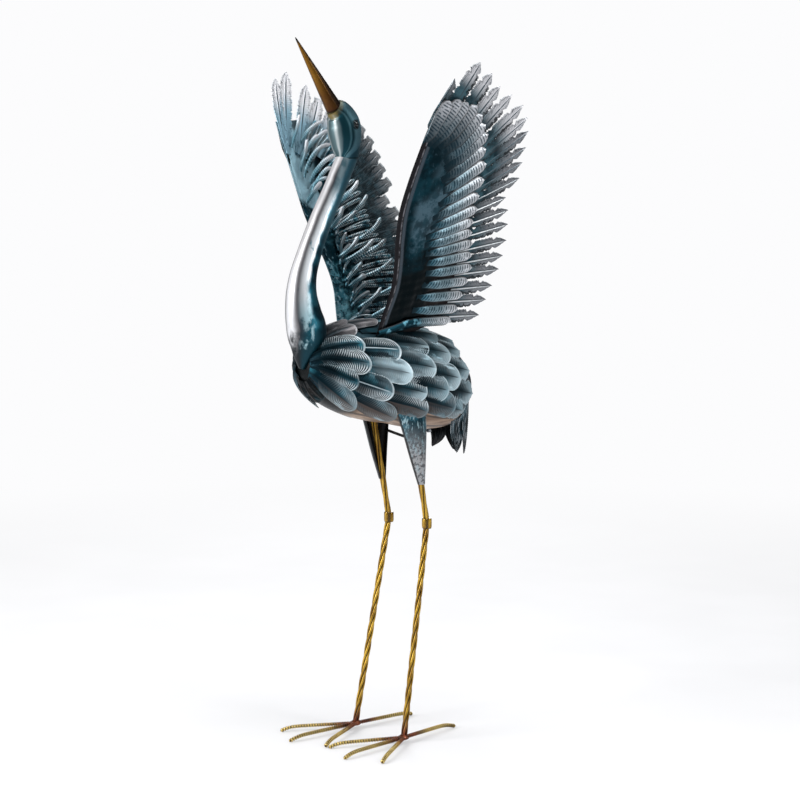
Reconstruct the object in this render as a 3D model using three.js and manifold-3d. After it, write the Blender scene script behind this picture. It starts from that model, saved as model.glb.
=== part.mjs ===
// Crane garden statue of painted sheet iron, standing on its own two wire feet with both wings raised.
// Millimetres, +Z up. The bird faces -Y and its left side is +X. The origin is on the ground, under the
// middle of the whole statue's box.

import * as THREE from "three";
import { mergeVertices } from "three/addons/utils/BufferGeometryUtils.js";
import Module from "manifold-3d";

const wasm = await Module();
wasm.setup();

// Gaps between touching pieces, and sheet thicknesses
const GAP = 0.4;
const BLADE_SHARE = 0.48;
const SHEET = 1.2;
const FEATHER_SHEET = 1.0;

// Body: a sealed egg of sheet. Its axis droops to the rear, more behind the middle, and its belly hangs
// lower there.
const BODY = {
  middleY: 65,
  middleZ: 600,
  droopAhead: 0.12,
  droopBehind: 0.15,
  keel: 24,
  halfLength: 173,
  halfHeight: 80,
  halfWidth: 74,
  fullness: 0.8,
};
const BODY_RINGS = 10;
const BODY_SIDES = 18;

// Body feathers: rows counted from the neck, all angles in degrees. Along the body 0 is the breast and
// 180 the rump; round the body 0 is the back, 90 the left side and 180 the belly. Each row is one
// scalloped sheet, whole along its roots and parted into feathers towards their tips.
const FEATHER_LIFT = { root: 1.4, tip: 8 };
const FEATHER_CROWN = 1.4;
const FLANK_BOUNDS = [38, 172];
const BACK_BOUNDS = [-36.5, 36.5];
const FLANK_ROWS = [
  { root: 20, tip: 57, halfWidth: 19, fan: 0.22, round: [54, 79, 103, 138] },
  { root: 42, tip: 80, halfWidth: 20, fan: 0.11, round: [61, 85, 109, 141] },
  { root: 60, tip: 98, halfWidth: 20, fan: 0.06, round: [53, 79, 105, 128] },
  { root: 78, tip: 116, halfWidth: 19, fan: 0.04, round: [60, 86, 108, 132] },
  { root: 97, tip: 132, halfWidth: 17, fan: 0.04, round: [50, 76, 102, 126] },
];
const BACK_ROWS = [
  { root: 26, tip: 60, halfWidth: 17, fan: 0, round: [-24, 0, 24] },
  { root: 44, tip: 80, halfWidth: 17, fan: 0, round: [-12, 12] },
  { root: 62, tip: 98, halfWidth: 18, fan: 0, round: [-24, 0, 24] },
  { root: 80, tip: 116, halfWidth: 19, fan: 0, round: [-33, -11, 11, 33] },
  { root: 98, tip: 133, halfWidth: 18, fan: 0, round: [-24, 0, 24] },
];
const BREAST_ROW = {
  root: 12,
  tip: 34,
  halfWidth: 17,
  fan: 0,
  raise: 1.8,
  tipLift: 5,
  round: [132, 156, 180, 204, 228],
};

// Tail: two pairs of blades that hang down from the rump. Places are across, behind and above the ground;
// aside is the way the blade's width runs.
const TAIL_BLADES = [
  {
    name: "outer",
    root: [49, 199, 551],
    bend: [21, 212, 500],
    tip: [29.5, 204, 466],
    aside: [-0.1, 0.995, 0],
    halfWidth: 13,
  },
  {
    name: "inner",
    root: [13, 230, 548],
    bend: [11, 242, 500],
    tip: [12, 239, 458],
    aside: [-0.8, 0.6, 0],
    halfWidth: 7,
  },
];

// Neck: centre line in the plane of symmetry, as behind, height, half depth and half width
const NECK_LINE = [
  [-15, 950, 17.5, 16.5],
  [-28, 926, 17.5, 16.5],
  [-46, 893, 17.5, 17],
  [-65, 860, 18, 17.5],
  [-82, 827, 18.5, 18],
  [-99, 788, 20, 19],
  [-108, 761, 22, 21],
  [-111, 733, 25, 24],
  [-107, 704, 30, 27],
  [-101, 680, 33, 29],
  [-101, 656, 29, 25],
  [-106, 636, 19, 16],
  [-111, 618, 5, 4],
];
const NECK_SIDES = 12;
const NECK_TOP = 950;
const NECK_ROOM = 0.6;

// Head: the same kind of line, from its rim over the neck up to the beak's root
const HEAD_LINE = [
  [-15.8, 950.6, 19.5, 18],
  [-17.5, 968, 24.5, 22],
  [-20, 987, 28, 25],
  [-24, 1004, 27, 24.5],
  [-33, 1019, 21.5, 20],
  [-43.3, 1026.3, 14.5, 13.5],
];
const HEAD_SIDES = 14;
const EYE = { radius: 3.8, across: 23.4, behind: -17, height: 1000 };

// Beak: a long cone that ends in a small blunt tip
const BEAK_ROOT = { behind: -43.6, height: 1026.7 };
const BEAK_TIP = { behind: -120.5, height: 1130 };
const BEAK_RADIUS = { root: 13, tip: 0.8 };

// Wings: each is nearly a plane through a root line, leaning outwards. Places on it are given as
// behind (u) and up the wing (v), in millimetres, and outwards from it (w).
const WING_ROOT = { across: 45, height: 670 };
const WING_LEAN = 24;
const WING_CUP = 16;
const WING_CUP_REACH = 80;
const WING_TOP = 440;
const WING_EDGE = [
  [4, -10],
  [9, 30],
  [15, 76],
  [10, 116],
  [-1, 160],
  [-9, 204],
  [-10, 252],
  [-9, 300],
  [-8, 340],
  [-5, 372],
];
const WING_BACK = [
  [60, -10],
  [92, 30],
  [98, 76],
  [96, 116],
  [88, 160],
  [80, 204],
  [78, 252],
  [70, 300],
  [52, 340],
  [26, 372],
];
const FLANGE_WIDTH = 9;

// Primaries: long blades fanned round the wing, counted from the top one at the leading edge
const PRIMARY_COUNT = 20;
const PRIMARY_TOP_TIPS = {
  left: [[10, 428], [52, 457], [84, 441]],
  right: [[26, 456], [54, 470], [91, 447]],
};
const PRIMARY_TIPS = [
  [110, 422],
  [174, 393],
  [205, 350],
  [214, 297],
  [219, 270],
  [202, 236],
  [217, 214],
  [236, 160],
  [240, 108],
  [237, 78],
  [229, 24],
];
const PRIMARY_TIP_STEPS = [0, 1, 2, 3, 5, 7, 9, 10, 11, 12, 14, 16, 17, 19];
const PRIMARY_LENGTH = { top: 104, bottom: 140 };
const PRIMARY_HALF_WIDTH = 11.5;
const FAN_TOP_ANGLE = 76;
const FAN_POWER = 1.5;

// Outer coverts: shorter ribbed blades over the primaries' roots, on the outer sheet
const COVERT_COUNT = 21;
const COVERT_TIPS = [
  [10, 394],
  [50, 395],
  [90, 370],
  [112, 330],
  [130, 272],
  [136, 216],
  [144, 172],
  [164, 126],
  [168, 72],
  [158, 16],
];
const COVERT_LENGTH = { top: 74, bottom: 92 };
const COVERT_HALF_WIDTH = 8.6;

// Inner coverts: narrow curled strips that stand off the inner sheet
const CURL_COUNT = 15;
const CURL_TIPS = [
  [42, 384],
  [96, 372],
  [112, 326],
  [126, 270],
  [140, 214],
  [160, 156],
  [164, 106],
  [150, 56],
];
const CURL_LENGTH = 104;
const CURL_HALF_WIDTH = 7;
const CURL_RISE = 13;

// Layers of the wing: the middle of each sheet, outwards from the wing's plane
const COVERT_LAYER = 3.4;
const PLATE_LAYER = 1;
const PRIMARY_LAYER = -2.6;
const INNER_LAYER = -6;

// The slot in the body's feathers round each wing's root: its front and back lines, and its two faces
const WING_SLOT = {
  front: [[-4, -40], [0, 16]],
  back: [[96, -40], [104, 16]],
  inner: -9,
  outer: 7.4,
};

// Legs: bars of four strands, in two lengths that meet in a split sleeve at the knee
const KNEE = { across: 46, behind: 116.7, height: 354 };
const ANKLE = { across: 59.3, behind: 53.2, height: 12 };
const LEG_TOP = { across: 47, behind: 75, height: 560 };
const STRAND = { outer: 5.3, valley: 3.9, pitch: 116, upperPitch: 620, stepsPerTurn: 8 };
const ANKLE_GAP = 2;
const KNEE_SLEEVE = { radius: 7, height: 17, gap: 1.2 };

// Feet: ribbed wires from a weld, bent down to the ground at their ends
const TOE_RADIUS = 2.4;
const TOE_HEIGHT = 8.6;
const TOE_ROOT_GAP = 10.6;
const WELD = { radius: 10, halfHeight: 4.6 };
const TOES = [
  { name: "inner", bend: [9, -50.6], end: [4, -62.5] },
  { name: "middle", bend: [65.3, -67.3], end: [67.8, -85.2] },
  { name: "outer", bend: [120, -44.6], end: [125.2, -56.5] },
  { name: "back", bend: [50.2, 159.7], end: [52.7, 177.3] },
];

// Thigh sleeves: half cones of sheet round the upper legs, open to the inner side
const THIGH_STATIONS = [
  { behind: 80, height: 552, across: 43, halfDepth: 33, halfWidth: 13 },
  { behind: 88, height: 514, across: 45, halfDepth: 26, halfWidth: 13 },
  { behind: 95, height: 467, across: 46, halfDepth: 16.5, halfWidth: 11.5 },
  { behind: 103, height: 420, across: 46.5, halfDepth: 8.4, halfWidth: 8.2 },
];
const THIGH_WRAP = 105;
const THIGH_ROOM = 1.6;
const TIE_ROD = { radius: 1.5, behind: 108, leftHeight: 492, rightHeight: 505, reach: 44 };
const THIGH_SCREW = { radius: 3, length: 4, across: 52, behind: 115.4, height: 508 };

const PAINT = {
  teal: 0x2c4f5c,
  darkTeal: 0x14303a,
  silver: 0xa7b1b8,
  gold: 0xa98a2c,
  copper: 0x96522f,
  beak: 0x8c6414,
  black: 0x0c0d0e,
};

const paint = (color, metalness = 0.6, roughness = 0.38) =>
  new THREE.MeshStandardMaterial({ color, metalness, roughness });
const rad = THREE.MathUtils.degToRad;
const lerp = THREE.MathUtils.lerp;
const V = (x, y, z) => new THREE.Vector3(x, y, z);

// A closed surface through rings of points; a ring of one point is a tip, and other end rings are capped
function loft(rings) {
  const points = rings.flat();
  const starts = [];
  let count = 0;
  for (const ring of rings) {
    starts.push(count);
    count += ring.length;
  }
  const faces = [];
  for (let i = 0; i + 1 < rings.length; i += 1) {
    const n = Math.max(rings[i].length, rings[i + 1].length);
    for (let k = 0; k < n; k += 1) {
      const next = (k + 1) % n;
      const a = starts[i] + (rings[i].length > 1 ? k : 0);
      const b = starts[i] + (rings[i].length > 1 ? next : 0);
      const c = starts[i + 1] + (rings[i + 1].length > 1 ? next : 0);
      const d = starts[i + 1] + (rings[i + 1].length > 1 ? k : 0);
      if (a === b) faces.push(a, c, d);
      else if (c === d) faces.push(a, b, c);
      else if (k % 2) faces.push(a, b, c, a, c, d);
      else faces.push(a, b, d, b, c, d);
    }
  }
  const last = rings.length - 1;
  for (let k = 1; k + 1 < rings[0].length; k += 1)
    faces.push(starts[0], starts[0] + k + 1, starts[0] + k);
  for (let k = 1; k + 1 < rings[last].length; k += 1)
    faces.push(starts[last], starts[last] + k, starts[last] + k + 1);
  return facingOut(points, faces);
}

// Triangles turned so that the volume they enclose is positive
function facingOut(points, faces) {
  let volume = 0;
  for (let i = 0; i < faces.length; i += 3) {
    const [a, b, c] = [points[faces[i]], points[faces[i + 1]], points[faces[i + 2]]];
    volume += a.dot(b.clone().cross(c));
  }
  const out = volume < 0 ? faces.slice().reverse() : faces;
  const geometry = new THREE.BufferGeometry();
  geometry.setFromPoints(points);
  geometry.setIndex(out);
  return geometry;
}

function solid(geometry) {
  const bare = geometry.clone();
  bare.deleteAttribute("normal");
  bare.deleteAttribute("uv");
  const merged = mergeVertices(bare, 1e-4);
  return new wasm.Manifold(
    new wasm.Mesh({
      numProp: 3,
      vertProperties: merged.attributes.position.array,
      triVerts: new Uint32Array(merged.index.array),
    }),
  );
}

const join = (solids) => solids.reduce((all, one) => all.add(one));

// The largest connected piece, so that slivers which a cut sets free are dropped
function mainPiece(body) {
  const pieces = body.decompose();
  return pieces.reduce((best, one) => (one.volume() > best.volume() ? one : best));
}

const statue = new THREE.Group();

function addPiece(name, body, material) {
  let geometry = body;
  if (!body.isBufferGeometry) {
    const { vertProperties, triVerts } = body.getMesh();
    geometry = new THREE.BufferGeometry();
    geometry.setAttribute("position", new THREE.BufferAttribute(vertProperties, 3));
    geometry.setIndex(new THREE.BufferAttribute(triVerts, 1));
  }
  geometry.computeVertexNormals();
  const mesh = new THREE.Mesh(geometry, material);
  mesh.name = name;
  statue.add(mesh);
}

// Body
function bodyPoint(along, round, lift) {
  const y = BODY.middleY - (BODY.halfLength + lift) * Math.cos(rad(along));
  const girth = Math.sin(rad(along)) ** BODY.fullness;
  const back = y - BODY.middleY;
  const axis = BODY.middleZ - back * (back > 0 ? BODY.droopBehind : BODY.droopAhead);
  const up = Math.cos(rad(round));
  const belly = up < 0 && back > 0 ? (BODY.keel * back * Math.min(1, 2 * girth)) / BODY.halfLength : 0;
  return V(
    (BODY.halfWidth + lift) * girth * Math.sin(rad(round)),
    y,
    axis + ((BODY.halfHeight + lift) * girth + belly) * up,
  );
}

function bodyEgg(lift) {
  const rings = [[bodyPoint(0, 0, lift)]];
  for (let i = 1; i < BODY_RINGS; i += 1) {
    const ring = [];
    for (let k = 0; k < BODY_SIDES; k += 1)
      ring.push(bodyPoint((180 * i) / BODY_RINGS, (360 * k) / BODY_SIDES, lift));
    rings.push(ring);
  }
  rings.push([bodyPoint(180, 0, lift)]);
  return solid(loft(rings));
}

// One sheet parted into blades: its roots are joined side by side, and its free parts stand apart. The
// stations are [share of length, width], and pointAt(blade, share, across, rise) gives a place on it.
function bladedSheet(count, joined, free, halfWidth, shape, pointAt) {
  const { crown, thickness } = shape;
  const points = [];
  const faces = [];
  const put = (p) => points.push(p) - 1;
  const quad = (a, b, c, d) => faces.push(a, b, c, a, c, d);

  // Half the way to the neighbour on one side, less a slit
  const reach = (j, side, [t, width]) => {
    const own = halfWidth(j) * width;
    if (j + side < 0 || j + side >= count) return own;
    const apart = pointAt(j, t, 0, 0).distanceTo(pointAt(j + side, t, 0, 0));
    return Math.min(own, apart * BLADE_SHARE);
  };
  const edge = (j, side, station, rise) => {
    return pointAt(j, station[0], side * reach(j, side, station), rise);
  };
  const seam = (j, station, rise) => {
    if (j === 0) return edge(0, -1, station, rise);
    if (j === count) return edge(count - 1, 1, station, rise);
    const apart = pointAt(j - 1, station[0], 0, 0).distanceTo(pointAt(j, station[0], 0, 0));
    const left = pointAt(j - 1, station[0], apart / 2, rise);
    return left.lerp(pointAt(j, station[0], -apart / 2, rise), 0.5);
  };
  const line = (station, rise) => {
    const row = [];
    for (let j = 0; j <= count; j += 1) {
      row.push(put(seam(j, station, rise)));
      if (j < count) row.push(put(pointAt(j, station[0], 0, rise + crown)));
    }
    return row;
  };

  const upper = joined.map((station) => line(station, thickness / 2));
  const lower = joined.map((station) => line(station, -thickness / 2));
  const last = joined.length - 1;
  for (let r = 0; r < last; r += 1)
    for (let c = 0; c < 2 * count; c += 1)
      for (const [face, rows] of [[1, upper], [-1, lower]]) {
        const [a, b, d, e] = [rows[r][c], rows[r][c + 1], rows[r + 1][c + 1], rows[r + 1][c]];
        const halves = c % 2 ? [a, b, d, a, d, e] : [a, b, e, b, d, e];
        faces.push(...(face > 0 ? halves : halves.reverse()));
      }
  for (let c = 0; c < 2 * count; c += 1) quad(upper[0][c + 1], upper[0][c], lower[0][c], lower[0][c + 1]);
  for (let r = 0; r < last; r += 1) {
    const right = 2 * count;
    quad(upper[r][0], upper[r + 1][0], lower[r + 1][0], lower[r][0]);
    quad(upper[r + 1][right], upper[r][right], lower[r][right], lower[r + 1][right]);
  }

  for (let j = 0; j < count; j += 1) {
    let [left, top, right] = upper[last].slice(2 * j, 2 * j + 3);
    let [leftLow, under, rightLow] = lower[last].slice(2 * j, 2 * j + 3);
    free.forEach((station, i) => {
      const nextLeft = put(edge(j, -1, station, 0));
      const nextRight = put(edge(j, 1, station, 0));
      const nextTop = put(pointAt(j, station[0], 0, crown + thickness / 2));
      const nextUnder = put(pointAt(j, station[0], 0, crown - thickness / 2));
      faces.push(left, top, nextLeft, top, nextTop, nextLeft);
      faces.push(top, right, nextRight, top, nextRight, nextTop);
      faces.push(leftLow, nextLeft, under, under, nextLeft, nextUnder);
      faces.push(under, nextRight, rightLow, under, nextUnder, nextRight);
      if (i === 0) {
        faces.push(left, nextLeft, leftLow);
        faces.push(nextRight, right, rightLow);
      }
      [left, top, right] = [nextLeft, nextTop, nextRight];
      [leftLow, under, rightLow] = [nextLeft, nextUnder, nextRight];
    });
    const tip = put(pointAt(j, 1, 0, crown / 2));
    faces.push(left, top, tip, top, right, tip);
    faces.push(left, tip, under, under, tip, right);
  }
  return solid(facingOut(points, faces));
}

const FEATHER_JOINED = [
  [0, 0.8],
  [0.5, 1],
];
const FEATHER_FREE = [[0.86, 0.84]];
const TAIL_JOINED = [
  [0, 0.7],
  [0.35, 1],
];
const TAIL_FREE = [[0.72, 0.8]];

// A row of rounded feathers that lie along the body and lift towards their tips
function featherRow(row, bounds, side = 1) {
  const girthAt = (along) =>
    ((BODY.halfWidth + BODY.halfHeight) / 2) * Math.sin(rad(along)) ** BODY.fullness;
  const round = side > 0 ? row.round : row.round.map((angle) => -angle).reverse();
  const [low, high] = side > 0 ? bounds : [-bounds[1], -bounds[0]];
  const pointAt = (j, t, across, rise) => {
    const along = lerp(row.root, row.tip, t);
    const turn = (across / girthAt(along)) * THREE.MathUtils.RAD2DEG;
    const centre = round[j] * (1 - row.fan * (1 - t));
    const at = THREE.MathUtils.clamp(centre + turn, low, high);
    const lift = lerp(FEATHER_LIFT.root, row.tipLift ?? FEATHER_LIFT.tip, t) + (row.raise ?? 0);
    return bodyPoint(along, at, lift + rise);
  };
  const shape = { crown: FEATHER_CROWN, thickness: FEATHER_SHEET };
  return bladedSheet(round.length, FEATHER_JOINED, FEATHER_FREE, () => row.halfWidth, shape, pointAt);
}

// A tail blade, one sheet bent along a curve from the rump to its tip
function tailBlade(side, { root, bend, tip, aside, halfWidth }) {
  const path = new THREE.QuadraticBezierCurve3(V(...root), V(...bend), V(...tip));
  const across = V(...aside);
  const pointAt = (j, t, offset, rise) => {
    const out = path.getTangent(t).cross(across).normalize();
    const p = path.getPoint(t).addScaledVector(across, offset).addScaledVector(out, -rise);
    return p.setX(p.x * side);
  };
  const shape = { crown: FEATHER_CROWN, thickness: FEATHER_SHEET };
  return bladedSheet(1, TAIL_JOINED, TAIL_FREE, () => halfWidth, shape, pointAt);
}

// A line of [behind, height, half depth, half width] in the plane of symmetry, lofted with oval rings
function ovalLoft(line, sides, swell = 0) {
  const rings = line.map(([y, z, depth, width], i) => {
    const before = line[Math.max(i - 1, 0)];
    const after = line[Math.min(i + 1, line.length - 1)];
    const ahead = V(0, after[0] - before[0], after[1] - before[1]).normalize();
    const outward = V(0, -ahead.z, ahead.y);
    const ring = [];
    for (let k = 0; k < sides; k += 1) {
      const turn = (2 * Math.PI * k) / sides;
      ring.push(
        V(0, y, z)
          .addScaledVector(outward, (depth + swell) * Math.cos(turn))
          .add(V((width + swell) * Math.sin(turn), 0, 0)),
      );
    }
    return ring;
  });
  return solid(loft(rings));
}

// Wings
function curveThrough(points) {
  const curve = new THREE.CatmullRomCurve3(points.map(([u, v]) => V(u, v, 0)));
  return (t) => curve.getPoint(t);
}

const wingEdge = curveThrough(WING_EDGE);
const wingLeanAxis = V(Math.sin(rad(WING_LEAN)), 0, Math.cos(rad(WING_LEAN)));
const wingOutward = V(Math.cos(rad(WING_LEAN)), 0, -Math.sin(rad(WING_LEAN)));

// How far behind the origin the leading edge lies at a height up the wing
function edgeAt(v) {
  let [low, high] = [0, 1];
  for (let i = 0; i < 20; i += 1) {
    const middle = (low + high) / 2;
    if (wingEdge(middle).y < v) low = middle;
    else high = middle;
  }
  return wingEdge(low).x;
}

// The sheet bends inwards towards its leading edge, most at mid height
function wingCup(u, v) {
  const near = THREE.MathUtils.clamp(1 - (u - edgeAt(v)) / WING_CUP_REACH, 0, 1.2);
  const share = Math.sin(Math.PI * THREE.MathUtils.clamp(v / WING_TOP, 0, 1));
  return -WING_CUP * share * near * near;
}

function wingPoint(side, u, v, w) {
  const p = V(WING_ROOT.across, u, WING_ROOT.height)
    .addScaledVector(wingLeanAxis, v)
    .addScaledVector(wingOutward, w + wingCup(u, v));
  return p.setX(p.x * side);
}

// A thin sheet between two lines of [u, v], with points at the given shares of the way across
function wingSheet(side, front, back, shares, low, high) {
  const rows = front.map(([u0, v0], i) =>
    shares.map((s) => [lerp(u0, back[i][0], s), lerp(v0, back[i][1], s)]),
  );
  const rings = rows.map((row) => [
    ...row.map(([u, v]) => wingPoint(side, u, v, high)),
    ...row
      .slice()
      .reverse()
      .map(([u, v]) => wingPoint(side, u, v, low)),
  ]);
  return solid(loftSheet(rings));
}

// Like loft, but its end caps run straight from the upper line to the lower one
function loftSheet(rings) {
  const n = rings[0].length;
  const faces = [];
  for (let i = 0; i + 1 < rings.length; i += 1)
    for (let k = 0; k < n; k += 1) {
      const next = (k + 1) % n;
      const [a, b, c, d] = [i * n + k, i * n + next, (i + 1) * n + next, (i + 1) * n + k];
      if (k < n / 2) faces.push(a, b, c, a, c, d);
      else faces.push(a, b, d, b, c, d);
    }
  const last = (rings.length - 1) * n;
  for (let k = 0; k + 1 < n / 2; k += 1) {
    const far = n - 1 - k;
    faces.push(k, far, k + 1, k + 1, far, far - 1);
    faces.push(last + k, last + k + 1, last + far, last + k + 1, last + far - 1, last + far);
  }
  return facingOut(rings.flat(), faces);
}

// The direction of the fan at a share of the way down the wing, 0 at its top
const fanAngle = (share) => rad(FAN_TOP_ANGLE * (1 - share) ** FAN_POWER);

// A curve through tips whose steps along the fan may be uneven
function tipCurve(points, steps) {
  const last = steps[steps.length - 1];
  const curve = curveThrough(points);
  return (share) => {
    const step = share * last;
    let i = 0;
    while (i + 2 < steps.length && steps[i + 1] <= step) i += 1;
    const part = (step - steps[i]) / (steps[i + 1] - steps[i]);
    const at = curve(THREE.MathUtils.clamp((i + part) / (points.length - 1), 0, 1));
    return [at.x, at.y];
  };
}

const evenSteps = (points) => points.map((_, i) => i);
const primaryTip = (side) =>
  tipCurve([...PRIMARY_TOP_TIPS[side > 0 ? "left" : "right"], ...PRIMARY_TIPS], PRIMARY_TIP_STEPS);
const covertTip = tipCurve(COVERT_TIPS, evenSteps(COVERT_TIPS));
const curlTip = tipCurve(CURL_TIPS, evenSteps(CURL_TIPS));

// A fan of blades in one layer of the wing
function wingFan(side, tipAt, count, blade) {
  const { length, layer, joined, free, halfWidth, crown, thickness = FEATHER_SHEET } = blade;
  const { rise = 0, curl = 0 } = blade;
  const pointAt = (j, t, across, lift) => {
    const share = j / (count - 1);
    const tip = tipAt(share);
    const angle = fanAngle(share);
    const back = length(share) * (1 - t);
    const aside = across - curl * length(share) * 4 * t * (1 - t);
    const u = tip[0] - Math.cos(angle) * back + Math.sin(angle) * aside;
    const v = tip[1] - Math.sin(angle) * back - Math.cos(angle) * aside;
    return wingPoint(side, u, v, layer + rise * t * t + lift);
  };
  return bladedSheet(count, joined, free, () => halfWidth, { crown, thickness }, pointAt);
}

function wingPlate(side) {
  const shares = [0, FLANGE_WIDTH / WING_CUP_REACH, 0.5, 1];
  const [low, high] = [PLATE_LAYER - SHEET / 2, PLATE_LAYER + SHEET / 2];
  return wingSheet(side, WING_EDGE, WING_BACK, shares, low, high);
}

const outerCoverts = (side) =>
  wingFan(side, covertTip, COVERT_COUNT, {
    length: (share) => lerp(COVERT_LENGTH.top, COVERT_LENGTH.bottom, share),
    layer: COVERT_LAYER,
    joined: [
      [0, 0.8],
      [0.62, 1],
    ],
    free: [[0.93, 0.8]],
    halfWidth: COVERT_HALF_WIDTH,
    crown: 2.6,
  });

const primaries = (side) =>
  wingFan(side, primaryTip(side), PRIMARY_COUNT, {
    length: (share) => lerp(PRIMARY_LENGTH.top, PRIMARY_LENGTH.bottom, Math.sqrt(share)),
    layer: PRIMARY_LAYER,
    joined: [
      [0, 0.8],
      [0.36, 1],
    ],
    free: [
      [0.74, 1],
      [0.79, 0.66],
      [0.87, 0.74],
    ],
    halfWidth: PRIMARY_HALF_WIDTH,
    crown: 1,
  });

const innerCurls = (side) =>
  wingFan(side, curlTip, CURL_COUNT, {
    length: () => CURL_LENGTH,
    layer: INNER_LAYER,
    joined: [
      [0, 1],
      [0.3, 1],
    ],
    free: [[0.7, 1]],
    halfWidth: CURL_HALF_WIDTH,
    crown: -1.6,
    rise: -CURL_RISE,
    curl: 0.06,
  });

// A bar of strands: rings with lobes and valleys, turned along the bar
function strandBar(from, to, pitch) {
  const start = V(from.across, from.behind, from.height);
  const axis = V(to.across, to.behind, to.height).sub(start);
  const length = axis.length();
  const toEnd = new THREE.Quaternion().setFromUnitVectors(V(0, 0, 1), axis.normalize());
  const steps = Math.max(2, Math.round((length / pitch) * STRAND.stepsPerTurn));
  const rings = [];
  for (let i = 0; i <= steps; i += 1) {
    const ring = [];
    for (let k = 0; k < 8; k += 1) {
      const turn = (Math.PI * k) / 4 + (2 * Math.PI * length * i) / (steps * pitch);
      const radius = k % 2 ? STRAND.valley : STRAND.outer;
      ring.push(
        V(radius * Math.cos(turn), radius * Math.sin(turn), (length * i) / steps)
          .applyQuaternion(toEnd)
          .add(start),
      );
    }
    rings.push(ring);
  }
  return loft(rings);
}

// A round wire through places, its rings square to the path
function wire(places, radius, sides) {
  const rings = places.map((place, i) => {
    const before = places[Math.max(i - 1, 0)];
    const after = places[Math.min(i + 1, places.length - 1)];
    const ahead = after.clone().sub(before).normalize();
    const aside = V(0, 0, 1).cross(ahead).normalize();
    const up = ahead.clone().cross(aside);
    const ring = [];
    for (let k = 0; k < sides; k += 1) {
      const turn = (2 * Math.PI * (k + 0.5)) / sides;
      ring.push(
        place
          .clone()
          .addScaledVector(aside, radius * Math.cos(turn))
          .addScaledVector(up, radius * Math.sin(turn)),
      );
    }
    return ring;
  });
  return solid(loft(rings));
}

const onSide = (side, p) => ({ ...p, across: p.across * side });

// A toe of wire: level from the weld, then bent down until the ground cuts a flat at its end
function toe(side, { bend, end }) {
  const root = V(ANKLE.across * side, ANKLE.behind, TOE_HEIGHT);
  const knuckle = V(bend[0] * side, bend[1], TOE_HEIGHT);
  const tip = V(end[0] * side, end[1], TOE_RADIUS * 0.55);
  const start = root.clone().add(knuckle.clone().sub(root).setLength(TOE_ROOT_GAP));
  return wire([start, knuckle, tip], TOE_RADIUS, 6).trimByPlane([0, 0, 1], 0);
}

// The whole cone that a thigh sleeve is half of, a little larger, which the feathers over it keep out of
function thighRoom(side) {
  const rings = THIGH_STATIONS.map((s) => {
    const ring = [];
    for (let k = 0; k < 10; k += 1)
      ring.push(
        V(
          side * (s.across + (s.halfWidth + THIGH_ROOM) * Math.cos((Math.PI * k) / 5)),
          s.behind + (s.halfDepth + THIGH_ROOM) * Math.sin((Math.PI * k) / 5),
          s.height,
        ),
      );
    return ring;
  });
  return solid(loft(rings));
}

// A half cone of sheet, its open side inwards
function thighSleeve(side) {
  const turns = [-1, -0.6, -0.2, 0.2, 0.6, 1].map((share) => rad(share * THIGH_WRAP));
  const rings = THIGH_STATIONS.map((s) => {
    const line = (shrink) =>
      turns.map((turn) =>
        V(
          side * (s.across + (s.halfWidth - shrink) * Math.cos(turn)),
          s.behind + (s.halfDepth - shrink) * Math.sin(turn),
          s.height,
        ),
      );
    return [...line(0), ...line(SHEET).reverse()];
  });
  return solid(loftSheet(rings));
}

const bodyShell = bodyEgg(0);
const bodyRoom = bodyEgg(GAP);
const neckRoom = ovalLoft(NECK_LINE, NECK_SIDES, NECK_ROOM);
const teal = paint(PAINT.teal);

addPiece("body_shell", bodyShell, paint(PAINT.darkTeal));

const neck = ovalLoft(NECK_LINE, NECK_SIDES).subtract(bodyRoom).trimByPlane([0, 0, -1], -NECK_TOP);
addPiece("neck", mainPiece(neck), paint(PAINT.silver, 0.8, 0.3));
const head = ovalLoft(HEAD_LINE, HEAD_SIDES).trimByPlane([0, 0, 1], NECK_TOP + GAP);
addPiece("head", head, teal.clone());

// Beak: its root face lies just ahead of the head's front
function beak() {
  const root = V(0, BEAK_ROOT.behind, BEAK_ROOT.height);
  const tip = V(0, BEAK_TIP.behind, BEAK_TIP.height);
  const cone = new THREE.CylinderGeometry(
    BEAK_RADIUS.tip,
    BEAK_RADIUS.root,
    tip.distanceTo(root),
    10,
    1,
  );
  cone.translate(0, tip.distanceTo(root) / 2, 0);
  const turn = new THREE.Quaternion().setFromUnitVectors(
    V(0, 1, 0),
    tip.clone().sub(root).normalize(),
  );
  cone.applyQuaternion(turn);
  cone.translate(root.x, root.y, root.z);
  return solid(cone);
}
const headRoom = ovalLoft(HEAD_LINE, HEAD_SIDES, GAP);
addPiece("beak", mainPiece(beak().subtract(headRoom)), paint(PAINT.beak, 0.5, 0.35));

for (const [name, side] of [["left", 1], ["right", -1]]) {
  const bead = new THREE.SphereGeometry(EYE.radius, 8, 6);
  bead.translate(side * EYE.across, EYE.behind, EYE.height);
  addPiece(`${name}_eye`, mainPiece(solid(bead).subtract(headRoom)), paint(PAINT.black, 0.1, 0.15));
}

// The feathers of the body leave room for the wings' roots
const wingRoom = join(
  [1, -1].map((side) =>
    wingSheet(side, WING_SLOT.front, WING_SLOT.back, [0, 1], WING_SLOT.inner, WING_SLOT.outer),
  ),
);

for (const [name, side] of [["left", 1], ["right", -1]]) {
  addPiece(`${name}_wing_plate`, mainPiece(wingPlate(side).subtract(bodyRoom)), teal.clone());
  addPiece(`${name}_wing_coverts`, outerCoverts(side), teal.clone());
  addPiece(`${name}_wing_primaries`, primaries(side), paint(PAINT.silver));
  addPiece(`${name}_wing_inner_curls`, innerCurls(side), paint(PAINT.darkTeal));
}

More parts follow.
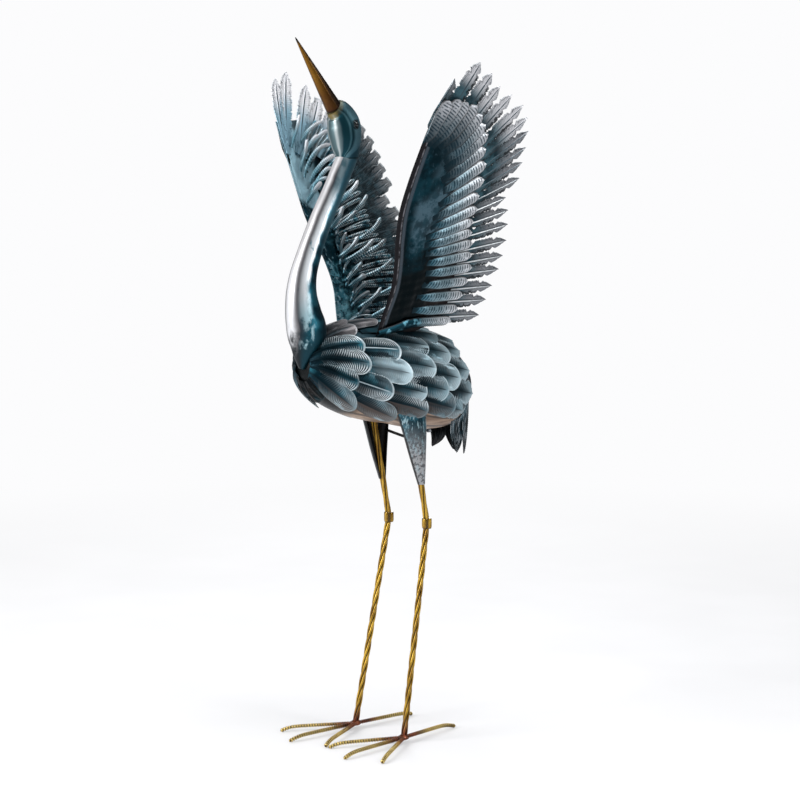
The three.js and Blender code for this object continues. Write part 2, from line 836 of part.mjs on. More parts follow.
// Body feathers
BACK_ROWS.forEach((row, i) => {
  const body = featherRow(row, BACK_BOUNDS).subtract(neckRoom).subtract(wingRoom);
  addPiece(`back_feathers_${i + 1}`, mainPiece(body), teal.clone());
});
for (const [name, side] of [["left", 1], ["right", -1]])
  FLANK_ROWS.forEach((row, i) => {
    const room = [neckRoom, wingRoom, thighRoom(side)];
    const body = room.reduce((rest, one) => rest.subtract(one), featherRow(row, FLANK_BOUNDS, side));
    addPiece(`${name}_flank_feathers_${i + 1}`, mainPiece(body), teal.clone());
  });
const breast = featherRow(BREAST_ROW, [0, 360]).subtract(neckRoom);
addPiece("breast_feathers", mainPiece(breast), teal.clone());
for (const [name, side] of [["left", 1], ["right", -1]])
  for (const blade of TAIL_BLADES)
    addPiece(
      `${name}_${blade.name}_tail_feather`,
      mainPiece(tailBlade(side, blade).subtract(bodyRoom)),
      paint(PAINT.darkTeal),
    );

// Legs and feet
for (const [name, side] of [["left", 1], ["right", -1]]) {
  const half = KNEE_SLEEVE.height / 2 + KNEE_SLEEVE.gap;
  const toward = (a, b, gap) => {
    const [p, q] = [a, b].map((o) => V(o.across, o.behind, o.height));
    const at = p.add(q.sub(p).setLength(gap));
    return { across: at.x * side, behind: at.y, height: at.z };
  };
  const lower = strandBar(toward(ANKLE, KNEE, ANKLE_GAP), toward(KNEE, ANKLE, half), STRAND.pitch);
  const upper = strandBar(toward(KNEE, LEG_TOP, half), onSide(side, LEG_TOP), STRAND.upperPitch);
  addPiece(`${name}_lower_leg`, lower, paint(PAINT.gold, 0.7, 0.35));
  const upperLeg = mainPiece(solid(upper).subtract(bodyRoom));
  addPiece(`${name}_upper_leg`, upperLeg, paint(PAINT.gold, 0.7, 0.35));
  const sleeve = new THREE.CylinderGeometry(
    KNEE_SLEEVE.radius,
    KNEE_SLEEVE.radius,
    KNEE_SLEEVE.height,
    10,
  );
  sleeve.rotateX(Math.PI / 2);
  sleeve.translate(KNEE.across * side, KNEE.behind, KNEE.height);
  addPiece(`${name}_knee_sleeve`, sleeve, paint(PAINT.gold, 0.7, 0.3));
  const weld = new THREE.SphereGeometry(WELD.radius, 8, 4);
  weld.rotateX(Math.PI / 2);
  weld.scale(1, 1, WELD.halfHeight / WELD.radius);
  weld.translate(ANKLE.across * side, ANKLE.behind, TOE_HEIGHT);
  addPiece(`${name}_foot_weld`, weld, paint(PAINT.copper, 0.6, 0.5));
  for (const part of TOES)
    addPiece(`${name}_${part.name}_toe`, toe(side, part), paint(PAINT.copper, 0.6, 0.5));
  const screw = new THREE.CylinderGeometry(
    THIGH_SCREW.radius,
    THIGH_SCREW.radius,
    THIGH_SCREW.length,
    6,
  );
  screw.translate(THIGH_SCREW.across * side, THIGH_SCREW.behind, THIGH_SCREW.height);
  addPiece(`${name}_thigh_screw`, screw, paint(PAINT.silver));
  addPiece(`${name}_thigh_sleeve`, mainPiece(thighSleeve(side).subtract(bodyRoom)), teal.clone());
}

// A rod that ties the two thigh sleeves together
const rodEnds = [
  V(-TIE_ROD.reach, TIE_ROD.behind, TIE_ROD.rightHeight),
  V(TIE_ROD.reach, TIE_ROD.behind, TIE_ROD.leftHeight),
];
addPiece("tie_rod", wire(rodEnds, TIE_ROD.radius, 6), paint(PAINT.black, 0.3, 0.6));

// Centred over the ground
const box = new THREE.Box3().setFromObject(statue);
statue.position.set(-(box.min.x + box.max.x) / 2, -(box.min.y + box.max.y) / 2, 0);

export default statue;
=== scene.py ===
# Crane garden statue of painted sheet iron: its finished surfaces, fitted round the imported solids.
# Shapes are worked out in millimetres, as behind, aside and up of the bird, and placed in metres.

import math

import bpy
import numpy as np
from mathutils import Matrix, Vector


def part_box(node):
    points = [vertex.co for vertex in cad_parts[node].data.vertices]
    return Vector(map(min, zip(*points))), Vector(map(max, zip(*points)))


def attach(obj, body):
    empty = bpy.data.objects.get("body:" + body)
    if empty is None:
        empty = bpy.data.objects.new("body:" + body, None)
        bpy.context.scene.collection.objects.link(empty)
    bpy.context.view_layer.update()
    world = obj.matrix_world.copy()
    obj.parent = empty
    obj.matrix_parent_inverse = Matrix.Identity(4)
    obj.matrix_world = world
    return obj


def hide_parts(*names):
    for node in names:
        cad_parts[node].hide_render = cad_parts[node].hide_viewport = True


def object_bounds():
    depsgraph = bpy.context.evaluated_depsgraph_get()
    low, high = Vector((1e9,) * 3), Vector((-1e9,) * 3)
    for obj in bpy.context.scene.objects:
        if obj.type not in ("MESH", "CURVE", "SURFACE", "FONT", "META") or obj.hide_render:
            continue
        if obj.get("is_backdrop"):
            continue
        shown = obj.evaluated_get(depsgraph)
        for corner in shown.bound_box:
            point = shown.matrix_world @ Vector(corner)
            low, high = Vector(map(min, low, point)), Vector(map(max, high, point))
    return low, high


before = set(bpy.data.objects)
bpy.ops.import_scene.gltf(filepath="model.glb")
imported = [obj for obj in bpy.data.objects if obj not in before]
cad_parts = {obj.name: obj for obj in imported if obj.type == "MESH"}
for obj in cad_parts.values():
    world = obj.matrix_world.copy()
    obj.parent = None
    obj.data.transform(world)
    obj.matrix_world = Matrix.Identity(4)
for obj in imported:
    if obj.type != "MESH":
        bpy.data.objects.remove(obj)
CAD_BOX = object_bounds()

MM = 0.001
SIDES = (("left", 1), ("right", -1))

# Body: an egg whose axis droops to the rear, with a belly that hangs lower there
BODY_MIDDLE = (0, 65, 600)
BODY_HALF_LENGTH = 173
BODY_HALF_HEIGHT = 80
BODY_HALF_WIDTH = 74
BODY_FULLNESS = 0.8
BODY_DROOP_AHEAD = 0.12
BODY_DROOP_BEHIND = 0.15
BODY_KEEL = 24

# The solids stand centred on the ground; this is how far that moved them from the bird's own middle
low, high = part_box("body_shell")
SHIFT = np.array([(low.x + high.x) / 2, (low.y + high.y) / 2 - BODY_MIDDLE[1] * MM, 0])

# Body feathers: rows from the neck back. Angles are in degrees, along the body from breast to rump and
# round it from the back to the belly. Each feather is (tip along, tip round, length along).
FEATHER_LIFT_ROOT = 1.4
FEATHER_LIFT_TIP = 8
# A whole row lies this much lower, and every other feather in it this much higher
ROW_SINK = -1.0
ROW_STAGGER = 1.1
FLANK_FEATHERS = [
    {"fan": 0.22, "half_width": 18.5, "tips": [(58, 54, 46), (59, 79, 48), (51, 103, 42), (55, 139, 46)]},
    {"fan": 0.11, "half_width": 18.5, "tips": [(80, 62, 39), (85, 87, 40), (74, 109, 38), (82, 140, 40)]},
    {"fan": 0.06, "half_width": 19, "tips": [(101, 53, 39), (102, 78, 39), (96, 105, 38), (100, 125, 38)]},
    {"fan": 0.04, "half_width": 18.5, "tips": [(116, 58, 38), (121, 85, 39), (111, 99, 38), (119, 116, 38)]},
    {"fan": 0.04, "half_width": 16, "tips": [(129, 48, 36), (132, 74, 37), (137, 100, 38), (127, 118, 34)]},
]
# How each of those feathers is finished: ribs on its upper and lower half, paleness of the same, how strongly
# rim and midrib are painted bright as their highlights, and how dark the shade painted on its root is
FLANK_FINISH = [
    [
        (0.95, 0.3, 0.05, 0.0, 0.7, 0.9), (1.0, 1.0, 0.05, 0.2, 0.6, 0.9),
        (0.75, 0.8, 0.0, 0.05, 0.2, 0.9), (0.25, 0.7, 0.4, 0.5, 0.2, 0.5),
    ],
    [
        (1.0, 0.1, 0.2, 0.1, 0.95, 0.9), (0.1, 0.15, 1.0, 1.0, 0.75, 0.5),
        (0.05, 0.95, 0.15, 0.5, 0.9, 0.8), (0.3, 0.5, 0.3, 0.45, 0.1, 0.7),
    ],
    [
        (0.3, 0.2, 0.45, 0.84, 0.4, 0.7), (0.15, 0.35, 0.5, 0.86, 0.4, 0.65),
        (0.9, 0.15, 0.3, 0.7, 0.5, 0.7), (0.9, 0.1, 0.15, 0.2, 0.2, 0.85),
    ],
    [
        (0.25, 0.2, 0.78, 0.82, 0.45, 0.9), (0.2, 0.2, 0.8, 0.84, 0.45, 0.85),
        (0.35, 0.25, 0.42, 0.48, 0.3, 0.92), (0.3, 0.2, 0.15, 0.15, 0.2, 0.95),
    ],
    [
        (0.2, 0.2, 0.78, 0.8, 0.45, 0.9), (0.25, 0.2, 0.8, 0.82, 0.45, 0.9),
        (0.25, 0.25, 0.62, 0.66, 0.4, 0.95), (0.25, 0.25, 0.45, 0.5, 0.3, 0.95),
    ],
]
BACK_FINISH = [(0.15, 0.1, 0.45, 0.45, 0.2, 0.8)]
BREAST_FINISH = [(0.1, 0.1, 0.0, 0.0, 0.2, 0.9)]
BACK_FEATHERS = [
    {"fan": 0, "half_width": 17, "tips": [(60, -24, 34), (62, 0, 36), (60, 24, 34)]},
    {"fan": 0, "half_width": 17, "tips": [(79, -12, 36), (79, 12, 36)]},
    {"fan": 0, "half_width": 18, "tips": [(98, -24, 36), (99, 0, 37), (98, 24, 36)]},
    {"fan": 0, "half_width": 19, "tips": [(114, -33, 36), (117, -11, 37), (117, 11, 37), (114, 33, 36)]},
    {"fan": 0, "half_width": 18, "tips": [(132, -24, 35), (134, 0, 36), (132, 24, 35)]},
]
BARE_BACK_ROWS = 2
WHOLE_BACK_ROWS = 3
WHOLE_FLANK_ROWS = 4
BREAST_FEATHERS = {
    "fan": 0,
    "half_width": 17,
    "tips": [(34, 132, 24), (33, 156, 22), (35, 180, 23), (33, 204, 22), (34, 228, 24)],
}
# Feathers that hang over the rump, as how far the tip lies aside of and above the body's end, in degrees
RUMP_TIPS = [
    [(-36, 14), (-12, 16), (12, 16), (36, 14)], [(-46, -6), (-24, -8), (0, -9), (24, -8), (46, -6)],
    [(-36, -28), (-12, -31), (12, -31), (36, -28)],
]
RUMP_REACH = 27
RUMP_HALF_WIDTH = 18
RUMP_MM_PER_DEGREE = 1.7
RUMP_LIFT = 0.9
RUMP_TIP_LIFT = 1.4
RUMP_LEVEL_STEP = 0.6
RUMP_STAGGER = 0.5
RUMP_FLATNESS = 0.45
# How high the tips stand in the rows nearest the rump, where that isn't FEATHER_LIFT_TIP
REAR_LIFTS = {4: 12, 5: 15}

# Tail blades, as root, bend, tip, the way the width runs and half width
TAIL_BLADES = [
    ("outer", (42, 200, 551), (10, 219, 487), (30, 202, 463), (-0.1, 0.995, 0), 19),
    ("inner", (27, 227, 548), (20, 231, 500), (13, 236, 456), (-0.4, 0.917, 0), 12),
]
RIGHT_TAIL_RISE = 5

# Neck and head: middle line in the plane of symmetry, as behind, height, half depth and half width
NECK_LINE = [
    (-12, 956, 17.5, 16.5),
    (-28, 926, 17.5, 16.5),
    (-46, 893, 17.5, 17),
    (-65, 860, 18, 17.5),
    (-82, 827, 18.5, 18),
    (-99, 788, 20, 19),
    (-108, 761, 22, 21),
    (-111, 733, 25, 24),
    (-107, 704, 30, 27),
    (-101, 680, 33, 29),
    (-101, 656, 29, 25),
    (-106, 636, 19, 16),
    (-111, 618, 5, 4),
]
HEAD_LINE = [
    (-15.4, 947, 18.6, 17.4),
    (-16, 957, 21, 19.5),
    (-17.5, 968, 24.5, 22),
    (-20, 987, 28, 25),
    (-24, 1004, 27, 24.5),
    (-33, 1019, 21.5, 20),
    (-43.3, 1026.3, 14.5, 13.5),
]
EYE = (23.4, -17, 1000)
EYE_RADIUS = 3.7
# Distances from the eye's middle, in metres, at which its dark socket and bright ring fade
SOCKET_FADE = (0.0088, 0.0066)
RING_OUTER_FADE = (0.0062, 0.0058)
RING_INNER_FADE = (0.005, 0.0054)
BEAK_ROOT = (0, -43, 1026)
BEAK_TIP = (0, -120.5, 1130)
BEAK_RADIUS = 13.2
BEAK_TIP_RADIUS = 0.9
MOUTH_DEPTH = 0.5

# Wings: places are behind (u) and up (v) in the wing's own plane, and outwards from it (w). Where the two
# wings differ, a value is given for the left one, 1, and the right one, -1.
WING_ACROSS = 45
WING_HEIGHT = 670
WING_LEAN = math.radians(24)
WING_CUP = 16
WING_CUP_REACH = 80
WING_TOP = 440
# The plate's leading edge, the line where the blades start to hide it, and its rear edge under them
WING_EDGE = [
    (4, -10), (9, 30), (15, 76), (10, 116), (-1, 160),
    (-9, 204), (-10, 252), (-9, 300), (-8, 340), (-5, 372),
]
WING_BACK = [
    (60, -10), (92, 30), (98, 76), (96, 116), (88, 160),
    (80, 204), (78, 252), (70, 300), (52, 340), (26, 372),
]
WING_UNDER = [
    (60, -10), (134, 26), (140, 76), (136, 116), (124, 160),
    (116, 204), (110, 252), (98, 300), (84, 340), (50, 380),
]
# No blade passes a line that follows the leading edge and runs on through these places
LEAD_TOPS = {1: [(9, 428)], -1: [(-2, 399), (8, 432), (22, 457)]}
FLANGE_COLUMNS = (0, 1, 2.2, 3.5, 5, 6.5, 8, 9, 10.2, 12)
FLANGE_HALF = 4.5
FLANGE_RISE = 1.8
CRUMPLE = {1: 0.8, -1: 1.8}
TOP_BLADE_ANGLE = 76
WING_SEED = 11
PRIMARY_COUNT = 20
PRIMARY_TOP_TIPS = {1: [(10, 428), (52, 457), (84, 441)], -1: [(26, 456), (54, 470), (91, 447)]}
PRIMARY_TIPS = [
    (110, 422), (174, 393), (205, 350), (214, 297), (219, 270), (202, 236),
    (217, 214), (236, 160), (240, 108), (237, 78), (229, 24),
]
PRIMARY_TIP_STEPS = [0, 1, 2, 3, 5, 7, 9, 10, 11, 12, 14, 16, 17, 19]
TOP_BLADES = 3
# Length and half width of the primaries and coverts. They grow longer towards the wing's foot, and the
# upper ones are wider by this much.
TOP_PRIMARY_LENGTH = {1: 84, -1: 150}
PRIMARY_LENGTH = 104
PRIMARY_GROWTH = 36
LANCE_HALF_WIDTH = 12.2
LANCE_TOP_WIDER = 3.8
BLUNT_HALF_WIDTH = 14.0
COVERT_LENGTH = 84
COVERT_GROWTH = 14
COVERT_HALF_WIDTH = 8.4
COVERT_TOP_WIDER = 2.6
COVERT_COUNT = 21
COVERT_TIPS = [
    (10, 394), (50, 395), (90, 370), (112, 330), (130, 272),
    (136, 216), (144, 172), (164, 126), (168, 72), (158, 16),
]
TOP_COVERTS_LOWER = {1: 0, -1: 18}
SHOULDER_HALF_WIDTH = 8.6
SHOULDER_START = (3, 5)
SHOULDER_LENGTH = 155
SHOULDER_RISE = 15
# Loose strips on the inner side, as root, middle and tip
CURL_LINES = [
    ((32, 331), (49, 351), (84, 369)), ((37, 313), (65, 339), (91, 352)),
    ((15, 267), (50, 311), (87, 326)), ((26, 258), (54, 288), (91, 307)),
    ((10, 226), (54, 274), (76, 279)), ((6, 320), (22, 352), (37, 378)),
    ((9, 277), (23, 306), (37, 332)), ((-1, 218), (18, 238), (41, 255)),
    ((42, 177), (59, 192), (74, 212)), ((48, 174), (76, 189), (102, 205)),
    ((94, 200), (117, 216), (137, 234)), ((40, 125), (66, 138), (88, 158)),
    ((47, 118), (86, 131), (122, 153)), ((67, 119), (109, 132), (150, 153)),
    ((39, 82), (61, 97), (80, 112)), ((46, 73), (65, 83), (80, 88)),
    ((52, 36), (82, 48), (106, 66)), ((64, 16), (96, 26), (124, 40)),
    ((84, 92), (120, 100), (152, 118)), ((96, 158), (126, 170), (152, 192)),
    ((60, 238), (92, 262), (112, 286)), ((70, 220), (100, 238), (126, 260)),
    ((20, 300), (48, 330), (66, 342)), ((22, 246), (46, 262), (72, 262)),
    ((90, 56), (122, 62), (152, 78)), ((16, 190), (34, 206), (56, 222)),
]
CURL_HALF_WIDTH = 3.4
CURL_RISE = 13
PALE_CURLS_FROM = 210
LINING_TIPS = [(66, 214), (74, 160), (84, 116), (86, 76), (80, 36), (66, 8)]
LINING_COUNT = 13
LINING_HALF_WIDTH = 3.3
BEADED_COUNT = 36
BEADED_FROM = 0.2
BEADED_HALF_WIDTH = 3.5
BEADED_LENGTH = 80
BEADED_GROWTH = 26
# How far out from the wing's plane each kind of blade lies
COVERT_LAYER = 3.4
PLATE_LAYER = 1
PRIMARY_LAYER = -2.6
BEADED_LAYER = -4.4
INNER_LAYER = -6
# Sheet thickness of the blades, and of the plates and thigh sleeves
BLADE_SHEET = 0.9
PLATE_SHEET = 1.0

# Legs and feet
KNEE = (46, 116.7, 354)
ANKLE = (59.3, 53.2, 12)
LEG_TOP = (47, 75, 560)
STRAND_RADIUS = 2.25
STRAND_OFFSET = 3.05
# How far off the bar's axis, in mm, the painted shade between the wires fades out
STRAND_SHADE_FADE = (3.3, 5.0)
LOWER_PITCH = 116
UPPER_PITCH = 300
COPPER_REACH = 34
KNEE_SLEEVE_RADIUS = 8.8
KNEE_SLEEVE_HEIGHT = 17
KNEE_SEAM = -38
TOE_RADIUS = 2.9
TOE_RIB = 0.7
TOE_RIB_PITCH = 4.5
TOE_HEIGHT = 8.6
TOE_START = 3
TOE_BEND = 7.0
TOE_COPPER_FADE = (20, 75)
WELD_HALF_SIZE = (8.8, 8.8, 5.2)
# Where each toe bends down and where it ends
TOES = {
    "inner": ((9, -50.6), (4, -62.5)),
    "middle": ((65.3, -67.3), (67.8, -85.2)),
    "outer": ((120, -44.6), (125.2, -56.5)),
    "back": ((50.2, 159.7), (52.7, 177.3)),
}
# Thigh sleeves from the top down: behind, height, aside, half depth and half width
THIGH_STATIONS = [
    (80, 552, 43, 33, 13),
    (88, 514, 45, 26, 13),
    (95, 467, 46, 16.5, 11.5),
    (103, 420, 46.5, 6.6, 6.8),
]
THIGH_WRAP = 105
SCREW_RADIUS = 3.2
SCREW_BEVEL = 0.7
TIE_ROD = ((-44, 108, 502), (44, 108, 489))
TIE_ROD_RADIUS = 2.4
TIE_ROD_SAG = 0.8


# Small helpers for modelling
def select_only(*objects):
    """Select these objects and nothing else, with the first one active."""
    if bpy.context.mode != "OBJECT":
        bpy.ops.object.mode_set(mode="OBJECT")
    bpy.ops.object.select_all(action="DESELECT")
    for one in objects:
        one.select_set(True)
    if objects:
        bpy.context.view_layer.objects.active = objects[0]


def points_of(piece):
    """The places of a piece's vertices, one row each."""
    places = np.empty(len(piece.data.vertices) * 3)
    piece.data.vertices.foreach_get("co", places)
    return places.reshape(-1, 3)


def set_points(piece, points):
    """Move a piece's vertices to these places."""
    piece.data.vertices.foreach_set("co", np.asarray(points, float).ravel())
    piece.data.update()


def in_place(points):
    """Millimetres in the bird's own frame as metres in the row frame."""
    return np.asarray(points, float) * MM + SHIFT


def float_attribute(piece, name, values):
    """A mark that the paint reads at each vertex."""
    layer = piece.data.attributes.new(name, "FLOAT", "POINT")
    layer.data.foreach_set("value", np.broadcast_to(values, len(piece.data.vertices)).astype(np.float32))


def set_uv(piece, along, aside):
    """A UV map whose two values are given at each vertex."""
    mesh = piece.data
    corners = np.empty(len(mesh.loops), int)
    mesh.loops.foreach_get("vertex_index", corners)
    layer = mesh.uv_layers[0] if mesh.uv_layers else mesh.uv_layers.new(name="UVMap")
    layer.data.foreach_set("uv", np.stack([along[corners], aside[corners]], 1).astype(np.float32).ravel())


def grid_sheet(name, rows, columns):
    """A flat sheet, and the row and column number of each of its vertices."""
    select_only()
    bpy.ops.mesh.primitive_grid_add(x_subdivisions=rows, y_subdivisions=columns, size=2)
    piece = bpy.context.object
    piece.name = name
    points = points_of(piece)
    i = np.rint((points[:, 0] + 1) / 2 * rows).astype(int)
    j = np.rint((points[:, 1] + 1) / 2 * columns).astype(int)
    return piece, i, j


def rolled_tube(name, rows, sides, place, closed_ends=True):
    """A sheet rolled into a tube: place(share along, turn in radians) gives its points."""
    piece, i, j = grid_sheet(name, rows, sides)
    set_uv(piece, i / rows, j / sides)
    set_points(piece, place(i / rows, 2 * np.pi * j / sides))
    select_only(piece)
    bpy.ops.object.mode_set(mode="EDIT")
    bpy.ops.mesh.select_all(action="SELECT")
    bpy.ops.mesh.remove_doubles(threshold=1e-6)
    if closed_ends:
        bpy.ops.mesh.select_all(action="DESELECT")
        bpy.ops.mesh.select_non_manifold()
        bpy.ops.mesh.fill_holes(sides=0)
        bpy.ops.mesh.select_all(action="SELECT")
        bpy.ops.mesh.normals_make_consistent(inside=False)
    bpy.ops.object.mode_set(mode="OBJECT")
    return piece


def join(pieces, name):
    """Several pieces of one sheet of work as one object."""
    select_only(*pieces)
    if len(pieces) > 1:
        bpy.ops.object.join()
    joined = bpy.context.view_layer.objects.active
    joined.name = name
    return joined


def apply_modifier(piece, kind, **settings):
    select_only(piece)
    modifier = piece.modifiers.new(kind.title(), kind)
    for key, value in settings.items():
        setattr(modifier, key, value)
    bpy.ops.object.modifier_apply(modifier=modifier.name)


def apply_place(piece):
    select_only(piece)
    bpy.ops.object.transform_apply(location=True, rotation=True, scale=True)


def finish_piece(piece, name, material, nodes, smooth_angle=50):
    """Paint a piece, smooth it, and let it stand for its solids."""
    piece.name = name
    piece.data.name = name
    piece.data.materials.clear()
    piece.data.materials.append(material)
    select_only(piece)
    bpy.ops.object.shade_smooth_by_angle(angle=math.radians(smooth_angle))
    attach(piece, "root")
    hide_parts(*nodes)
    return piece


def smooth_line(points, shares):
    """Places on a smooth line through points, at shares of its length counted in points."""
    points = np.asarray(points, float)
    ends = np.vstack([2 * points[0] - points[1], points, 2 * points[-1] - points[-2]])
    at = np.clip(np.asarray(shares, float), 0, 1) * (len(points) - 1)
    k = np.minimum(at.astype(int), len(points) - 2)
    t = (at - k)[..., None]
    a, b, c, d = (ends[k + step] for step in range(4))
    return 0.5 * (2 * b + (c - a) * t + (2 * a - 5 * b + 4 * c - d) * t**2 + (3 * b - a - 3 * c + d) * t**3)


def fade(value, start, end):
    """A smooth step from 0 at start to 1 at end."""
    t = np.clip((value - start) / (end - start), 0, 1)
    return t * t * (3 - 2 * t)


# Surfaces that the sheets lie on
def body_point(along, around, lift):
    """A place on the body, by its angles along and round it, and lifted off its skin."""
    a, r = np.radians(along), np.radians(around)
    y = BODY_MIDDLE[1] - (BODY_HALF_LENGTH + lift) * np.cos(a)
    girth = np.maximum(np.sin(a), 0) ** BODY_FULLNESS
    back = y - BODY_MIDDLE[1]
    axis = BODY_MIDDLE[2] - back * np.where(back > 0, BODY_DROOP_BEHIND, BODY_DROOP_AHEAD)
    up = np.cos(r)
    hang = BODY_KEEL * back * np.minimum(1, 2 * girth) / BODY_HALF_LENGTH
    belly = np.where((up < 0) & (back > 0), hang, 0)
    x = (BODY_HALF_WIDTH + lift) * girth * np.sin(r)
    z = axis + ((BODY_HALF_HEIGHT + lift) * girth + belly) * up
    return np.stack(np.broadcast_arrays(x, y, z), -1)


EDGE_SAMPLES = smooth_line(WING_EDGE, np.linspace(0, 1, 60))
LEAD_LINES = {side: np.vstack([EDGE_SAMPLES, tops])[:, ::-1].T for side, tops in LEAD_TOPS.items()}


def wing_point(side, u, v, w):
    """A place by the wing's own plane, which leans outwards and is cupped along its leading edge."""
    edge = np.interp(v, EDGE_SAMPLES[:, 1], EDGE_SAMPLES[:, 0])
    near = np.clip(1 - (u - edge) / WING_CUP_REACH, 0, 1.2)
    cup = -WING_CUP * np.sin(np.pi * np.clip(v / WING_TOP, 0, 1)) * near**2
    w = w + cup
    x = WING_ACROSS + math.sin(WING_LEAN) * v + math.cos(WING_LEAN) * w
    z = WING_HEIGHT + math.cos(WING_LEAN) * v - math.sin(WING_LEAN) * w
    return np.stack(np.broadcast_arrays(side * x, u, z), -1)


# Blades: a flat one is ribbed and cut to its outline once, and copies of it are laid on those surfaces
def round_outline(root, widest, shoulder):
    """Half width along a blade that widens from its root and ends in a round tip."""
    def outline(s):
        body = root + (1 - root) * fade(s, 0, widest)
        end = np.clip((s - shoulder) / (1 - shoulder), 0, 1)
        return body * np.sqrt(np.maximum(1 - end**2, 0))
    return outline


def open_outline(s):
    """Half width along a blade whose ribs give it its round tip."""
    return 0.55 + 0.45 * fade(s, 0, 0.6)


def tail_outline(s):
    """Half width of a blade that narrows to a point from its upper third."""
    end = np.clip((s - 0.3) / 0.7, 0, 1)
    return (0.85 + 0.15 * fade(s, 0, 0.3)) * (1 - end**2.1) ** 0.75


def lance_outline(s):
    """Half width of a long blade with a cut on each side behind its pointed tip."""
    cut = 1 - 0.4 * fade(s, 0.755, 0.785) + 0.26 * fade(s, 0.79, 0.825)
    slot = 1 - 0.3 * np.exp(-(((s - 0.45) / 0.012) ** 2))
    end = np.clip((s - 0.82) / 0.18, 0, 1)
    return (0.94 + 0.06 * fade(s, 0, 0.3)) * cut * slot * (1 - end**1.5)


def spear_outline(s):
    """Half width of a long blade that narrows to a point without a cut."""
    end = np.clip((s - 0.78) / 0.22, 0, 1)
    return (0.85 + 0.1 * fade(s, 0.1, 0.6)) * (1 - end**1.8)


def blunt_outline(s):
    """Half width of a long blade with a square end."""
    end = np.clip((s - 0.965) / 0.035, 0, 1)
    notched = 1 - 0.34 * fade(s, 0.82, 0.9)
    return (0.9 + 0.1 * fade(s, 0, 0.5)) * notched * np.sqrt(np.maximum(1 - end**8, 0))


def flat_blade(
    name, ribs, ribbed_from, columns, outline, slant, ridge, crown, midrib,
    rim=0.0, lean=0.0, ragged=0.0, tip=0.0, frayed=0.0,
):
    """A ribbed blade: x is the share of its length, y the share of its half width, z its height in mm.
    slant is how far the ribs lead at both edges and lean how far at one edge, as shares of the length. With
    a tip they bend back towards the end and nest in its round outline, which is that long."""
    roots = np.linspace(0, ribbed_from, 4)[:-1]
    rows = np.concatenate([roots, np.linspace(ribbed_from, 1, 2 * ribs + 1)])
    crests = np.concatenate([np.zeros(len(roots)), np.arange(2 * ribs + 1) % 2])
    tears = 1 - ragged * np.random.default_rng(5).random((2, len(rows))) ** 2
    frays = frayed * np.random.default_rng(8).random(len(columns))
    piece, i, j = grid_sheet(name, len(rows) - 1, len(columns) - 1)
    r, crest, c = rows[i], crests[i], np.asarray(columns)[j]
    out, side = np.abs(c), np.sign(c)
    room = (1 - r) ** 0.6 * fade(r, 0, 0.1)
    edge = r + (slant + lean * side) * room
    s = r + (slant * out + lean * c) * room
    torn = 1 - (1 - tears[(side > 0).astype(int), i]) * fade(out, 0.3, 1)
    if tip > 0:
        back = tip * (1 - np.sqrt(np.maximum(1 - out**2, 0))) * fade(r, 0.35, 0.95)
        s = edge = r + slant * out * fade(r, 0, 0.15) * (1 - fade(r, 0.55, 1)) - back
    width = outline(np.clip(edge, 0, 1)) * torn
    margin = np.maximum(fade(out, 0.9, 0.96), fade(r, 0.965, 0.992) if tip > 0 else 0)
    relief = ridge * (crest - 0.5) * fade(1 - r, 0, 0.06) * fade(r, ribbed_from, ribbed_from + 0.1)
    if lean == 0:
        relief = relief * fade(out, 0.04, 0.2)
    if rim > 0:
        relief = relief * (1 - margin)
    height = crown * (1 - out**1.6) + midrib * np.exp(-((c / 0.07) ** 2)) * (1 - fade(s, 0.9, 1)) + relief
    height += rim * margin
    set_points(piece, np.stack([s - frays[j] * fade(r, 0.85, 1), c * width, height], 1))
    set_uv(piece, s, (c + 1) / 2)
    float_attribute(piece, "crest", crest)
    float_attribute(piece, "margin", margin)
    return piece


def lay(blade, place, half_width, **marks):
    """A copy of a flat blade, laid where place(share, aside in mm, height in mm) says."""
    copy = blade.copy()
    copy.data = blade.data.copy()
    bpy.context.collection.objects.link(copy)
    s, c, h = points_of(blade).T
    set_points(copy, in_place(place(s, c * half_width, h)))
    for name, value in marks.items():
        float_attribute(copy, name, value)
    return copy


def sheet_work(blades, name, material, nodes):
    """Blades as one piece, given their thickness."""
    piece = join(blades, name)
    apply_modifier(piece, "SOLIDIFY", thickness=BLADE_SHEET * MM, offset=0)
    return finish_piece(piece, name, material, nodes)


# Materials
def colour(red, green, blue):
    """A colour given as it looks, from 0 to 255, for a socket."""
    def linear(level):
        level /= 255
        return level / 12.92 if level <= 0.04045 else ((level + 0.055) / 1.055) ** 2.4
    return (linear(red), linear(green), linear(blue), 1.0)


